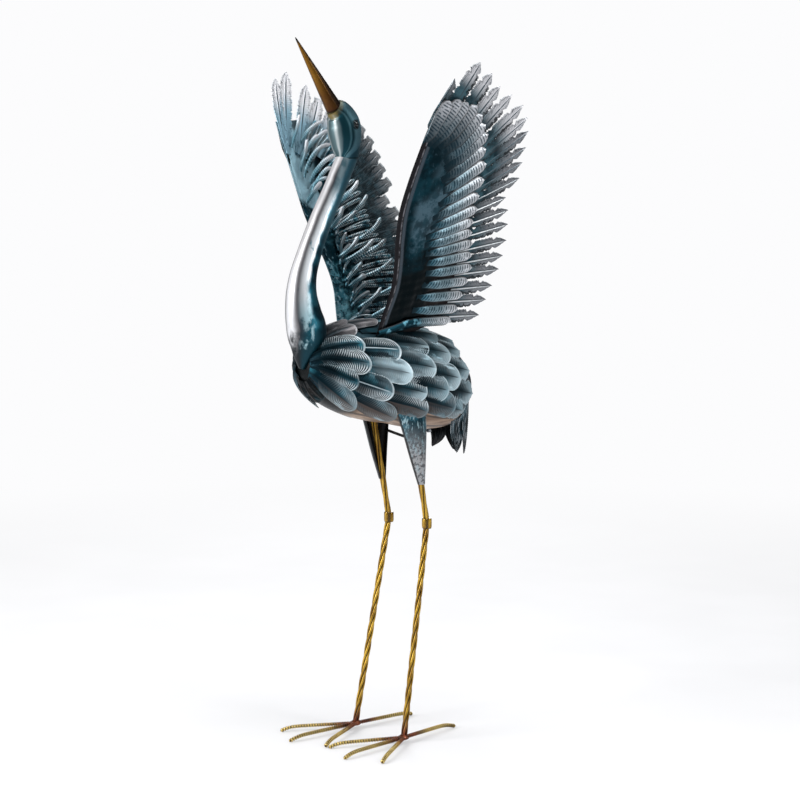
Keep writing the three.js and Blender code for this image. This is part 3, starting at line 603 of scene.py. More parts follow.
class Graph:
    """The nodes of a material or a group, added by short calls. An input is a value, a socket or a
    colour, which is given as it looks, in red, green and blue from 0 to 255."""

    def __init__(self, tree):
        self.tree = tree

    def add(self, kind, inputs=(), **settings):
        node = self.tree.nodes.new(kind)
        for key, value in settings.items():
            setattr(node, key, value)
        for key, value in dict(inputs).items():
            self.put(node.inputs[key], value)
        return node

    def put(self, socket, value):
        if isinstance(value, bpy.types.NodeSocket):
            self.tree.links.new(value, socket)
        else:
            socket.default_value = colour(*value) if socket.type == "RGBA" else value

    def math(self, operation, a, b=0.0, clamp=False):
        return self.add("ShaderNodeMath", {0: a, 1: b}, operation=operation, use_clamp=clamp).outputs[0]

    def places_math(self, operation, a, b=(0, 0, 0)):
        """Sum, distance and the like of two places."""
        outputs = self.add("ShaderNodeVectorMath", {0: a, 1: b}, operation=operation).outputs
        return outputs["Value" if operation in ("DISTANCE", "LENGTH") else "Vector"]

    def plus(self, a, b):
        return self.math("ADD", a, b)

    def minus(self, a, b):
        return self.math("SUBTRACT", a, b)

    def most(self, a, b):
        return self.math("MAXIMUM", a, b)

    def size_of(self, a):
        return self.math("ABSOLUTE", a)

    def rest(self, share):
        """What a share leaves of the whole."""
        return self.minus(1.0, share)

    def times(self, product, *factors):
        for factor in factors:
            product = self.math("MULTIPLY", product, factor)
        return product

    def step(self, value, start, end, low=0.0, high=1.0):
        """A smooth step of the value, from low at start to high at end."""
        node = self.add("ShaderNodeMapRange", {0: value, 1: start, 2: end, 3: low, 4: high})
        node.interpolation_type = "SMOOTHSTEP"
        return node.outputs[0]

    def mix(self, share, a, b):
        return self.add("ShaderNodeMix", {0: share, 6: a, 7: b}, data_type="RGBA").outputs[2]

    def ramp(self, share, stops):
        """Colours that change smoothly along a share, given as (place, colour) pairs."""
        node = self.add("ShaderNodeValToRGB", {0: share})
        ramp = node.color_ramp
        ramp.interpolation = "EASE"
        while len(ramp.elements) < len(stops):
            ramp.elements.new(0.5)
        for element, (place, tone) in zip(ramp.elements, stops):
            element.position = place
            element.color = colour(*tone)
        return node.outputs[0]

    def noise(self, where, scale, detail=3.0, stretch=None, roughness=0.55):
        """Noise over these places, drawn out in the directions where stretch is small."""
        if stretch:
            where = self.add("ShaderNodeMapping", {0: where, 3: stretch}).outputs[0]
        inputs = {"Vector": where, "Scale": scale, "Detail": detail, "Roughness": roughness}
        return self.add("ShaderNodeTexNoise", inputs).outputs[0]

    def split(self, vector):
        return self.add("ShaderNodeSeparateXYZ", {0: vector}).outputs

    def facing(self):
        """Which way the surface faces, as its three parts."""
        return self.split(self.add("ShaderNodeNewGeometry").outputs["Normal"])


class Coat(Graph):
    """A painted metal with plain gloss values, whose colour is sprayed on layer by layer."""

    def __init__(self, name, metallic, coat=0.0, coat_roughness=0.15, specular=0.3):
        self.material = bpy.data.materials.new(name)
        self.material.use_nodes = True
        super().__init__(self.material.node_tree)
        self.sockets = self.tree.nodes["Principled BSDF"].inputs
        self.sockets["Metallic"].default_value = metallic
        self.sockets["Specular IOR Level"].default_value = specular
        self.sockets["Coat Weight"].default_value = coat
        self.sockets["Coat Roughness"].default_value = coat_roughness
        places = self.add("ShaderNodeTexCoord").outputs
        self.where, self.uv = places["Object"], places["UV"]
        self.colour = None

    def marks(self, *names):
        """The values that a piece's points carry under these names."""
        return [self.add("ShaderNodeAttribute", attribute_name=name).outputs["Fac"] for name in names]

    def uv_places(self):
        """Share along a piece, and how far aside of its middle line, from -0.5 to 0.5."""
        along, across = self.split(self.uv)[:2]
        return along, self.minus(across, 0.5)

    def out_from_middle(self, aside):
        """0 on the middle line and 1 at both edges."""
        return self.times(self.size_of(aside), 2.0)

    def outward(self):
        """How far the surface faces away from the bird's middle, and below 0 towards it."""
        return self.times(self.facing()[0], self.math("SIGN", self.split(self.where)[0]))

    def grain(self, scale, detail=3.0, stretch=None, roughness=0.55):
        return self.noise(self.where, scale, detail, stretch, roughness)

    def sheet_paint(self, dark, light, wear_and_sheen, size, patches, wear, roughness):
        """The first coat, from the group that all sheets share."""
        values = {"Dark": dark, "Light": light, "Worn": wear_and_sheen, "Patch size": size, "Patches": patches,
                  "Wear": wear, "Roughness": roughness}
        paint = self.add("ShaderNodeGroup", node_tree=SHEET_PAINT)
        for key, value in values.items():
            self.put(paint.inputs[key], value)
        self.colour = paint.outputs["Colour"]
        return paint.outputs

    def spray(self, share, tone, strength=1.0):
        """Another colour over the present one, as far as the share says."""
        self.colour = self.mix(share if strength == 1.0 else self.times(share, strength), self.colour, tone)

    def close(self, roughness, height, strength, depth=0.0005, metallic=None):
        """The finished material, with its roughness and the height of its fine relief."""
        relief = self.add("ShaderNodeBump", {"Height": height, "Strength": strength, "Distance": depth})
        self.put(self.sockets["Base Color"], self.colour)
        self.put(self.sockets["Roughness"], roughness)
        self.put(self.sockets["Normal"], relief.outputs[0])
        if metallic is not None:
            self.put(self.sockets["Metallic"], metallic)
        return self.material


def paint_wear_group():
    """Sheet paint that varies in patches, with fine scuffs: gives a colour, a roughness and a height."""
    tree = bpy.data.node_groups.new("sheet paint", "ShaderNodeTree")
    taken = {"Dark": "Color", "Light": "Color", "Worn": "Color", "Patch size": "Float", "Patches": "Float",
             "Wear": "Float", "Roughness": "Float"}
    for name, kind in taken.items():
        tree.interface.new_socket(name, in_out="INPUT", socket_type=f"NodeSocket{kind}")
    for name, kind in {"Colour": "Color", "Roughness": "Float", "Height": "Float"}.items():
        tree.interface.new_socket(name, in_out="OUTPUT", socket_type=f"NodeSocket{kind}")
    graph = Graph(tree)
    given = graph.add("NodeGroupInput").outputs
    out = graph.add("NodeGroupOutput").inputs
    where = graph.add("ShaderNodeTexCoord").outputs["Object"]
    patches = graph.step(graph.noise(where, given["Patch size"], 4.0), 0.42, 0.62)
    speckle = graph.noise(where, 420.0, 2.0)
    scuffs = graph.noise(where, 260.0, 3.0, (1, 1, 0.2))
    tone = graph.mix(graph.times(patches, given["Patches"]), given["Dark"], given["Light"])
    wear_and_sheen = graph.times(graph.step(scuffs, 0.6, 0.72), given["Wear"])
    graph.put(out["Colour"], graph.mix(wear_and_sheen, tone, given["Worn"]))
    graph.put(out["Roughness"], graph.plus(given["Roughness"], graph.step(speckle, 0.3, 0.7, -0.05, 0.07)))
    graph.put(out["Height"], graph.plus(graph.times(speckle, 0.4), graph.times(patches, 0.6)))
    return tree


SHEET_PAINT = paint_wear_group()
BLUE_PALE = (118, 156, 174)
SILVER = (205, 215, 220)
TAUPE = (98, 86, 80)
FINE_RELIEF = (0.15, 0.0004)


def feather_material():
    """Teal that pales towards the tip, with silver on the ribs' crests, rim and midrib painted bright as
    their highlights, and painted shade beside the midrib and on the root. The mark ribbing says how strongly
    a feather's ribs show, bare turns it grey and dusk turns it nearly black."""
    coat = Coat("ribbed feather paint", 0.8, 0.0, 0.2, 0.2)
    along, aside = coat.uv_places()
    out = coat.out_from_middle(aside)
    tone, crest, margin = coat.marks("tone", "crest", "margin")
    bright, deep, ribbing, bare, dusk = coat.marks("rim", "deep", "ribbing", "bare", "dusk")
    paint = coat.sheet_paint((8, 46, 58), (42, 104, 120), BLUE_PALE, 36.0, 0.8, 0.0, 0.46)
    sprayed = coat.most(coat.step(out, 0.32, 0.94), coat.step(along, 0.6, 0.96))
    sprayed = coat.most(sprayed, coat.step(tone, 0.78, 0.94, 0.12, 0.62))
    pale = coat.times(sprayed, coat.step(along, 0.25, 0.6), tone)
    coat.spray(pale, (190, 214, 223))
    soft = coat.times(coat.step(out, 0.5, 0.95, 0.0, 0.5), coat.step(along, 0.45, 0.9))
    soft = coat.times(soft, coat.step(tone, 0.0, 0.5, 0.3, 0.8), coat.rest(coat.times(ribbing, 0.8)))
    coat.spray(soft, (146, 175, 185))
    coat.spray(coat.times(bare, coat.step(along, 0.0, 0.7, 0.5, 1.0)), (128, 124, 126))
    # Painted shade beside the raised midrib
    midrib_shade = coat.times(coat.step(out, 0.42, 0.06), coat.step(along, 0.97, 0.8))
    coat.spray(coat.times(midrib_shade, coat.step(tone, 0.0, 1.0, 0.75, 0.6)), (8, 30, 38))
    # Painted shade on the root, where the row in front overlaps it
    coat.spray(coat.times(coat.step(along, 0.86, 0.48, 0.0, 1.0), deep), (4, 20, 27))
    sharp = coat.step(crest, 0.35, 0.8)
    reach = coat.times(coat.step(along, 0.45, 0.86, 0.1, 1.0), coat.step(out, 0.1, 0.5, 0.0, 1.0))
    shown = coat.times(ribbing, reach)
    coat.spray(coat.times(coat.rest(sharp), shown), (4, 26, 34), 0.9)
    lit = coat.times(sharp, shown)
    coat.spray(lit, (226, 236, 240), 0.95)
    # Painted highlight: the rim is painted silver where its raised lip would catch the light
    rim = coat.times(margin, coat.step(along, 0.42, 0.75), bright)
    coat.spray(rim, (212, 226, 232), 0.9)
    # Painted highlight on the raised midrib where the mark rim is high, and a dark line elsewhere
    midrib = coat.times(coat.step(out, 0.06, 0.02), coat.step(along, 0.97, 0.9))
    coat.spray(midrib, coat.mix(coat.step(bright, 0.7, 0.95), (12, 30, 36), (190, 208, 216)), 0.75)
    coat.spray(coat.step(coat.facing()[2], -0.35, -0.85, 0.0, 0.7), TAUPE)
    coat.spray(dusk, (10, 12, 12), 0.95)
    white = coat.most(coat.most(coat.times(lit, 0.9), rim), coat.times(pale, 0.9))
    metallic = coat.step(white, 0.0, 1.0, 0.84, 0.3)
    return coat.close(paint["Roughness"], paint["Height"], *FINE_RELIEF, metallic)


def covert_material():
    """Half-round strips, pale at the tip and teal at the root, with dark slits between the ribs and painted
    shade along their sides, where the gaps between strips lie. A tone above 1 makes the glossy blue shoulder."""
    coat = Coat("covert paint", 0.7, 0.0, 0.2, 0.2)
    along, aside = coat.uv_places()
    out = coat.out_from_middle(aside)
    tone, crest = coat.marks("tone", "crest")
    root = coat.mix(tone, (26, 46, 54), (52, 104, 122))
    middle = coat.mix(tone, (112, 120, 125), (122, 147, 157))
    tips = coat.mix(tone, (188, 191, 196), (212, 215, 219))
    paint = coat.sheet_paint(root, middle, BLUE_PALE, 60.0, 0.5, 0.2, 0.34)
    coat.spray(coat.step(along, 0.08, coat.step(tone, 0.2, 0.8, 0.75, 0.45)), middle)
    coat.spray(coat.step(along, 0.5, 1.0), tips)
    slit = coat.times(coat.step(crest, 0.65, 0.3), coat.step(out, 0.8, 0.55))
    slit = coat.times(slit, coat.step(coat.grain(150.0, 2.0), 0.34, 0.48), coat.step(along, 0.99, 0.93))
    coat.spray(slit, (14, 42, 54), 0.85)
    glossy = coat.step(tone, 1.1, 1.25)
    wet = coat.mix(coat.step(coat.grain(55.0, 2.0), 0.5, 0.58), (6, 48, 60), (92, 148, 166))
    coat.spray(coat.times(glossy, coat.step(along, 0.6, 0.5)), wet)
    # Painted shade: brownish dark along each strip's sides, for the gaps between the strips
    side = coat.times(coat.step(out, 0.72, 0.9), coat.step(tone, 0.1, 0.6, 0.78, 0.88))
    coat.spray(side, (30, 27, 27))
    reach = coat.step(tone, 0.2, 0.6, 0.5, 0.2)
    coat.spray(coat.times(coat.step(along, reach, 0.02), coat.rest(glossy)), (8, 30, 38))
    metallic = coat.step(along, 0.4, 0.95, 0.75, 0.4)
    return coat.close(paint["Roughness"], paint["Height"], *FINE_RELIEF, metallic)


def primary_material():
    """Long blades: teal at the root, grey at the tip, a line pressed inside the edge, painted shadow along
    one edge where the next blade lies over it, and a midrib painted bright as its highlight with painted
    shadow beside it, or dark where the mark line is low. The mark pale turns a blade white and light blue,
    and dusk makes it dark and striped."""
    coat = Coat("primary paint", 0.65, 0.0, 0.2, 0.2)
    along, aside = coat.uv_places()
    out = coat.out_from_middle(aside)
    crest, pale, line, dusk = coat.marks("crest", "pale", "line", "dusk")
    paint = coat.sheet_paint((16, 42, 50), (62, 96, 106), BLUE_PALE, 40.0, 0.8, 0.1, 0.38)
    coat.spray(coat.step(pale, 0.35, 1.0), (140, 178, 196))
    tip = coat.mix(coat.step(pale, 0.0, 0.66), (138, 140, 144), (232, 232, 236))
    coat.spray(coat.step(along, 0.42, 0.78), tip)
    # Painted shadow: a ragged black band along one edge of the root half, where the next blade overlaps
    ragged = coat.plus(aside, coat.step(coat.grain(150.0), 0.3, 0.7, -0.14, 0.14))
    overlap_shadow = coat.times(coat.step(ragged, 0.28, 0.32), coat.step(along, 0.82, 0.7))
    coat.spray(coat.times(overlap_shadow, coat.step(pale, 1.0, 0.5)), (5, 8, 10), 0.92)
    dusky = coat.mix(coat.step(coat.grain(70.0), 0.4, 0.62), (8, 22, 28), (44, 72, 82))
    coat.spray(coat.times(dusk, coat.step(along, 0.96, 0.66)), dusky)
    specks = coat.times(coat.step(coat.grain(260.0, 2.0), 0.56, 0.64), coat.step(out, 0.25, 0.6))
    coat.spray(specks, (34, 42, 48), 0.7)
    groove = coat.times(coat.step(crest, 0.7, 0.3), coat.step(out, 0.1, 0.4))
    coat.spray(groove, (20, 44, 54), 0.3)
    pressed = coat.times(coat.step(out, 0.66, 0.7), coat.step(out, 0.82, 0.78), coat.step(along, 0.3, 0.7))
    coat.spray(pressed, (52, 56, 60), 0.5)
    shadow = coat.times(coat.step(out, 0.34, 0.16), coat.step(along, 0.96, 0.9))
    coat.spray(coat.times(shadow, line), (16, 36, 44), 0.7)
    # The midrib painted bright as its highlight where the mark line is high, and as a dark line elsewhere
    midrib = coat.times(coat.step(out, 0.12, 0.06), coat.step(along, 0.96, 0.93))
    midrib_line_and_highlight = coat.mix(coat.step(line, 0.2, 0.9), (56, 70, 78), (222, 227, 230))
    coat.spray(coat.times(midrib, coat.step(along, 0.2, 0.5, 0.4, 1.0)), midrib_line_and_highlight)
    brushed = coat.noise(coat.uv, 6.0, 3.0, (2, 7, 1))
    coat.spray(coat.times(coat.step(brushed, 0.5, 0.66, 0.0, 0.5), dusk), (128, 138, 142))
    blunt = coat.step(dusk, 0.82, 0.88)
    stripes = coat.step(coat.noise(coat.uv, 1.0, 2.0, (3, 26, 1)), 0.5, 0.4)
    coat.spray(coat.times(stripes, blunt, coat.step(along, 0.99, 0.8, 0.35, 0.8)), (8, 20, 25))
    coat.spray(coat.times(coat.step(along, 0.84, 0.98, 0.0, 0.55), blunt), (136, 137, 138))
    edge = coat.times(coat.step(out, 0.86, 0.95), coat.step(along, 0.75, 0.9, 0.0, 0.5))
    coat.spray(edge, SILVER)
    metallic = coat.step(pale, 0.0, 0.5, 0.65, 0.26)
    return coat.close(paint["Roughness"], paint["Height"], *FINE_RELIEF, metallic)


def inner_strip_material():
    """Strips on the wings' inner sides: pale strips and beads over dark teal, and on the darker strips
    painted shade along the edges, where they meet the next.
    """
    coat = Coat("inner strip paint", 0.75, 0.0, 0.2, 0.2)
    along, aside = coat.uv_places()
    out = coat.out_from_middle(aside)
    crest, pale = coat.marks("crest", "pale")
    paint = coat.sheet_paint((8, 34, 44), (34, 82, 98), BLUE_PALE, 50.0, 0.7, 0.2, 0.34)
    coat.spray(coat.step(coat.grain(120.0), 0.48, 0.62, 0.0, 0.75), (104, 158, 176))
    coat.spray(pale, coat.mix(coat.step(along, 0.3, 0.9), (104, 152, 168), (222, 222, 226)))
    bead = coat.times(coat.step(crest, 0.35, 0.8), coat.step(out, 0.1, 0.3), coat.rest(pale))
    bead = coat.times(bead, coat.step(coat.grain(36.0), 0.35, 0.5))
    coat.spray(bead, (206, 216, 220), 0.9)
    coat.spray(coat.times(coat.step(crest, 0.6, 0.2), coat.step(along, 1.0, 0.85)), (14, 44, 54), 0.6)
    # Painted shade along the edges of the darker strips, in the gaps between them
    coat.spray(coat.times(coat.step(out, 0.7, 0.95), coat.rest(pale)), (14, 30, 34), 0.7)
    metallic = coat.step(coat.most(pale, bead), 0.1, 1.0, 0.75, 0.3)
    return coat.close(paint["Roughness"], paint["Height"], *FINE_RELIEF, metallic)


def tail_material():
    """Dark teal with long grey streaks that follow the blade, and black on the side that faces inwards."""
    coat = Coat("tail paint", 0.7, 0.0, 0.2, 0.2)
    along = coat.split(coat.uv)[0]
    streaks = coat.noise(coat.uv, 2.2, 3.0, (1.6, 9, 1))
    paint = coat.sheet_paint((18, 40, 48), (52, 86, 98), BLUE_PALE, 40.0, 0.7, 0.1, 0.36)
    coat.spray(coat.step(along, 0.35, 0.9), (22, 24, 27))
    coat.spray(coat.step(streaks, 0.53, 0.6, 0.0, 0.85), (166, 174, 180))
    coat.spray(coat.step(streaks, 0.49, 0.43, 0.0, 0.9), (6, 10, 13))
    coat.spray(coat.step(coat.outward(), 0.0, -0.15), (14, 13, 13), 0.88)
    return coat.close(paint["Roughness"], streaks, 0.2, 0.0006)


def plate_outside(coat, edge, height):
    """Nearly black at the foot and slate above, in blotches."""
    blotch = coat.step(coat.grain(48.0, 4.0), 0.42, 0.56, 0.25, 1.0)
    middle = coat.times(coat.step(height, 1.5, 1.75), coat.step(height, 2.6, 2.35), blotch)
    upper = coat.times(coat.step(height, 2.7, 2.95), coat.step(edge, 0.3, 0.55), blotch, 0.55)
    slate = coat.most(coat.times(middle, coat.step(edge, 0.18, 0.34)), upper)
    coat.spray(slate, (74, 98, 110), 0.8)
    coat.spray(coat.step(height, 1.5, 1.2), (5, 13, 16))


def plate_inside(coat, edge, up, cloud, hand):
    """Bright teal with a pale blue field, and tufts of both towards the foot, with painted shade in their
    folds and painted highlights on their crumples.
    """
    glossy = coat.mix(coat.step(cloud, 0.4, 0.62), (16, 62, 76), (82, 142, 160))
    rough = coat.plus(up, coat.step(coat.grain(60.0, 4.0), 0.3, 0.7, -0.22, 0.22))
    tufts = coat.ramp(coat.times(rough, 0.25), [
        (0.0, (58, 112, 128)), (0.1, (108, 164, 178)), (0.19, (60, 118, 134)), (0.23, (6, 46, 58)),
        (0.26, (96, 156, 172)), (0.3, (24, 78, 92)), (0.34, (4, 38, 48)), (0.44, (6, 42, 53)),
    ])
    # Noise that paints shade into the tufts' folds and highlights onto their crumples
    crumple_shade_and_highlight = coat.grain(95.0, 4.0, roughness=0.7)
    tufts = coat.mix(coat.step(crumple_shade_and_highlight, 0.5, 0.4, 0.0, 0.75), tufts, (5, 42, 54))
    tufts = coat.mix(coat.step(crumple_shade_and_highlight, 0.58, 0.66, 0.0, 0.7), tufts, (150, 194, 208))
    glossy = coat.mix(coat.step(up, 1.7, 1.45), glossy, tufts)
    glossy = coat.mix(coat.times(hand, 0.9), glossy, (170, 208, 222))
    flecks = coat.times(coat.step(coat.grain(150.0, 2.0), 0.55, 0.62), coat.step(edge, 0.22, 0.12), 0.8)
    return coat.mix(flecks, glossy, (170, 206, 220))


def plate_material():
    """The wings' smooth plates: slate outside, teal and pale blue inside, a dark strip painted as the shade
    under the blades where they start, and a brown flange along the leading edge with a broken grey line
    painted on its rolled bead as the bead's highlight."""
    coat = Coat("wing plate paint", 0.85, 0.0, 0.15, 0.12)
    edge, up, under = coat.marks("edge", "up", "under")
    paint = coat.sheet_paint((4, 24, 31), (14, 48, 58), BLUE_PALE, 26.0, 0.9, 0.08, 0.32)
    cloud = coat.grain(24.0, 4.0)
    height = coat.plus(up, coat.step(cloud, 0.3, 0.7, -0.25, 0.25))
    hand = coat.times(coat.step(height, 2.0, 2.3), coat.step(edge, 0.75, 0.55))
    inward = coat.step(coat.outward(), 0.1, -0.1)
    plate_outside(coat, edge, height)
    coat.spray(inward, plate_inside(coat, edge, up, cloud, hand))
    # Painted shade: dark brown on the plate under the blades' roots, where the gaps between them show it
    dark = coat.mix(coat.step(cloud, 0.35, 0.65), (16, 14, 15), (34, 28, 28))
    coat.spray(coat.times(under, coat.rest(coat.times(inward, 0.15))), dark)
    coat.spray(coat.times(coat.step(edge, 0.16, 0.13), coat.rest(inward)), (70, 78, 86), 0.8)
    flange = coat.times(coat.step(edge, 0.1, 0.085), coat.rest(coat.times(inward, 0.8)))
    coat.spray(flange, (28, 24, 25), 0.9)
    # Painted highlight: a broken grey line along the crest of the rolled bead
    wear_and_sheen = coat.times(coat.step(edge, 0.045, 0.055), coat.step(edge, 0.078, 0.065))
    wear_and_sheen = coat.times(wear_and_sheen, coat.step(coat.grain(90.0), 0.35, 0.6), flange)
    coat.spray(wear_and_sheen, (120, 120, 126), 0.8)
    light = coat.most(hand, coat.step(up, 1.7, 1.45, 0.0, 0.8))
    metallic = coat.step(coat.times(inward, light), 0.0, 1.0, 0.85, 0.3)
    return coat.close(paint["Roughness"], paint["Height"], 0.2, metallic=metallic)


def egg_material():
    """The body under its feathers: taupe below with two dark seams, teal above and dark at the breast."""
    coat = Coat("body paint", 0.45, 0.0, 0.2, 0.2)
    paint = coat.sheet_paint((20, 50, 60), (60, 92, 104), BLUE_PALE, 30.0, 0.8, 0.15, 0.4)
    facing = coat.facing()[2]
    brushed = coat.grain(70.0, 3.0, (1, 0.15, 1))
    taupe = coat.mix(coat.step(brushed, 0.35, 0.65), (114, 90, 72), (164, 140, 120))
    coat.spray(coat.step(facing, -0.05, -0.3), taupe)
    for seam in (-0.66, -0.88):
        off = coat.size_of(coat.minus(facing, seam))
        coat.spray(coat.step(off, 0.03, 0.012), (34, 28, 26), 0.75)
    coat.spray(coat.step(coat.split(coat.where)[1], -0.06, -0.1), (3, 8, 10))
    return coat.close(paint["Roughness"], brushed, 0.15)


def plain_material(name, dark, light, wear_and_sheen, size, patches, wear, roughness, metallic, lacquer):
    """Sheet paint as it comes, for small parts."""
    coat = Coat(name, metallic, lacquer)
    paint = coat.sheet_paint(dark, light, wear_and_sheen, size, patches, wear, roughness)
    return coat.close(paint["Roughness"], paint["Height"], 0.25)


def sleeve_material():
    """The thigh sleeves' paint: mottled teal outside, greyer towards the foot, and black inside."""
    coat = Coat("thigh paint", 0.6, 0.3)
    paint = coat.sheet_paint((6, 52, 64), (56, 108, 124), (150, 180, 190), 70.0, 0.9, 0.1, 0.32)
    outward, height = coat.outward(), coat.split(coat.where)[2]
    coat.spray(coat.step(height, 0.53, 0.455, 0.0, 0.9), (160, 160, 162))
    dabs = coat.step(coat.grain(210.0, 2.0, (1, 1, 0.4)), 0.55, 0.64)
    coat.spray(coat.times(dabs, coat.step(height, 0.46, 0.52, 0.3, 0.8)), (168, 200, 210))
    salt = coat.step(coat.grain(230.0), 0.5, 0.57)
    coat.spray(coat.times(salt, coat.step(height, 0.54, 0.47, 0.0, 0.8)), (56, 58, 62))
    lip = coat.times(coat.step(outward, 0.5, 0.3), coat.step(coat.facing()[1], -0.6, -0.8), 0.9)
    coat.spray(coat.most(coat.step(outward, -0.05, -0.2), lip), (10, 10, 11))
    return coat.close(paint["Roughness"], paint["Height"], 0.25)


def neck_side(coat, down, mottle):
    """The pale band beside the silver front, which turns to flecks of two blues lower down."""
    lower = coat.step(down, 0.55, 0.68)
    fleck = coat.mix(lower, (222, 228, 232), (176, 212, 222))
    between = coat.mix(lower, (96, 146, 160), (16, 84, 100))
    patchy = coat.plus(mottle, coat.step(down, 0.45, 0.8, 0.14, -0.06))
    flecked = coat.mix(coat.step(patchy, 0.42, 0.54), between, fleck)
    upper = coat.mix(coat.step(mottle, 0.4, 0.62), (84, 116, 127), (134, 156, 164))
    return coat.mix(coat.step(down, 0.13, 0.24), upper, flecked)


def neck_material():
    """Silver down the front, a dark line beside it, and teal that mottles towards the back and the foot, with
    painted shadow under the head's rim and painted shade at the foot.
    """
    coat = Coat("neck paint", 0.8, 0.03, 0.2, 0.2)
    down, aside = coat.uv_places()
    front = coat.out_from_middle(aside)
    streaks = coat.grain(60.0, 3.0, (1, 1, 0.25))
    mottle = coat.grain(55.0, 4.0, (1, 1, 0.6))
    coat.sheet_paint((8, 42, 54), (40, 98, 114), (150, 180, 190), 30.0, 0.9, 0.1, 0.3)
    coat.spray(coat.step(down, 0.42, 0.2, 0.0, 0.75), (92, 140, 156))
    wavy = coat.plus(front, coat.step(streaks, 0.3, 0.7, -0.012, 0.012))
    beside = coat.minus(wavy, coat.step(down, 0.72, 0.9, 0.2, 0.1))
    strip = coat.mix(coat.step(down, 0.35, 0.6), (196, 195, 197), (226, 227, 230))
    strip = coat.mix(coat.times(coat.step(front, 0.05, 0.0), 0.2), strip, (150, 150, 152))
    silver = coat.mix(coat.step(beside, -0.01, 0.01), strip, neck_side(coat, down, mottle))
    reach = coat.minus(coat.plus(front, coat.step(mottle, 0.3, 0.7, -0.04, 0.04)), 0.45)
    teal = coat.step(reach, -0.07, 0.05)
    coat.colour = coat.mix(teal, silver, coat.colour)
    wide = coat.step(down, 0.3, 0.6, 0.13, 0.17)
    line = coat.step(coat.rest(coat.math("DIVIDE", coat.size_of(beside), wide, True)), 0.0, 1.0)
    coat.spray(coat.times(line, coat.step(down, 0.02, 0.12)), (58, 56, 60), 0.9)
    # Painted shadow at the neck's top, under the head's rim
    coat.spray(coat.step(down, 0.03, 0.0), (18, 22, 24))
    # Painted shade at the foot, where neck and breast meet: dark grey in front and dark teal behind
    foot = coat.step(coat.plus(down, coat.step(mottle, 0.35, 0.65, 0.07, -0.07)), 0.74, 0.88)
    coat.spray(foot, coat.mix(coat.step(front, 0.1, 0.35), (22, 28, 32), (14, 56, 68)))
    metallic = coat.step(teal, 0.0, 1.0, 0.4, 0.85)
    return coat.close(coat.step(streaks, 0.2, 0.8, 0.34, 0.42), mottle, 0.04, metallic=metallic)


def head_material():
    """A silver front panel whose soft stripes are painted reflections, teal round it, gold sprayed at the
    beak's root, a dark socket round each eye and painted shade along the lower rim."""
    coat = Coat("head paint", 0.75, 0.0, 0.25, 0.15)
    along, aside = coat.uv_places()
    front = coat.rest(coat.out_from_middle(aside))
    paint = coat.sheet_paint((14, 44, 54), (50, 84, 98), (120, 150, 160), 16.0, 0.6, 0.0, 0.48)
    bands = coat.math("DIVIDE", front, coat.step(along, 0.0, 0.45, 0.4, 1.0))
    bands = coat.plus(bands, coat.step(along, 0.05, 0.4, 0.0, 0.07))
    # The panel's own silver and teal, with a highlight band and darker bands across it painted as reflections
    panel_and_painted_reflections = coat.ramp(bands, [
        (0.0, (58, 80, 84)), (0.13, (84, 104, 108)), (0.2, (176, 184, 185)), (0.26, (104, 122, 126)),
        (0.34, (22, 60, 70)), (0.44, (24, 66, 76)), (0.48, (84, 124, 134)), (0.52, (24, 58, 66)),
        (0.6, (112, 154, 166)), (0.75, (104, 146, 160)), (0.92, (52, 88, 100)),
    ])
    coat.colour = coat.mix(coat.step(bands, 0.45, 0.55, 0.12, 0.3), panel_and_painted_reflections, coat.colour)
    crown = coat.times(coat.step(along, 0.62, 0.9), coat.step(bands, 0.4, 0.55))
    coat.spray(crown, (22, 50, 58), 0.7)
    sprayed = coat.plus(along, coat.step(coat.grain(90.0), 0.3, 0.7, -0.03, 0.03))
    gold = coat.times(coat.step(sprayed, 0.88, 0.98), coat.step(front, 0.5, 0.2, 0.35, 0.9))
    coat.spray(gold, (128, 112, 66))
    # Painted shade along the head's lower rim, where it sits over the neck
    coat.spray(coat.step(along, 0.05, 0.0), (20, 30, 33))
    one_side = coat.places_math("ABSOLUTE", coat.places_math("ADD", coat.where, tuple(-SHIFT)))
    off = coat.places_math("DISTANCE", one_side, tuple(abs(value) * MM for value in EYE))
    off = coat.plus(off, coat.step(coat.grain(300.0, 2.0), 0.3, 0.7, -0.0016, 0.0016))
    coat.spray(coat.step(off, *SOCKET_FADE), (3, 5, 7), 0.95)
    ring = coat.times(coat.step(off, *RING_OUTER_FADE), coat.step(off, *RING_INNER_FADE))
    coat.spray(ring, (150, 166, 170), 0.5)
    return coat.close(paint["Roughness"], paint["Height"], 0.03)


def beak_material():
    """Gold that darkens to brown at the root, with a black tip and a dark upper edge, which is the fold line
    there with painted shade beside it.
    """
    coat = Coat("beak paint", 0.75, 0.08, 0.15, 0.2)
    along, aside = coat.uv_places()
    streaks = coat.grain(120.0, 3.0, (1, 1, 0.2))
    coat.colour = coat.mix(coat.step(along, 0.0, 0.55), (58, 27, 7), (112, 76, 16))
    coat.spray(coat.step(streaks, 0.4, 0.75, 0.0, 0.2), (140, 104, 36))
    # Dark over the upper side as far as the mouth grooves: the fold line there and painted shade beside it
    coat.spray(coat.step(coat.size_of(aside), 0.17, 0.25), (22, 13, 7), 0.9)
    coat.spray(coat.step(along, 0.9, 0.96), (20, 20, 18))
    coat.spray(coat.step(along, 0.035, 0.0), (44, 24, 12), 0.7)
    return coat.close(coat.step(streaks, 0.2, 0.8, 0.25, 0.42), streaks, 0.04)


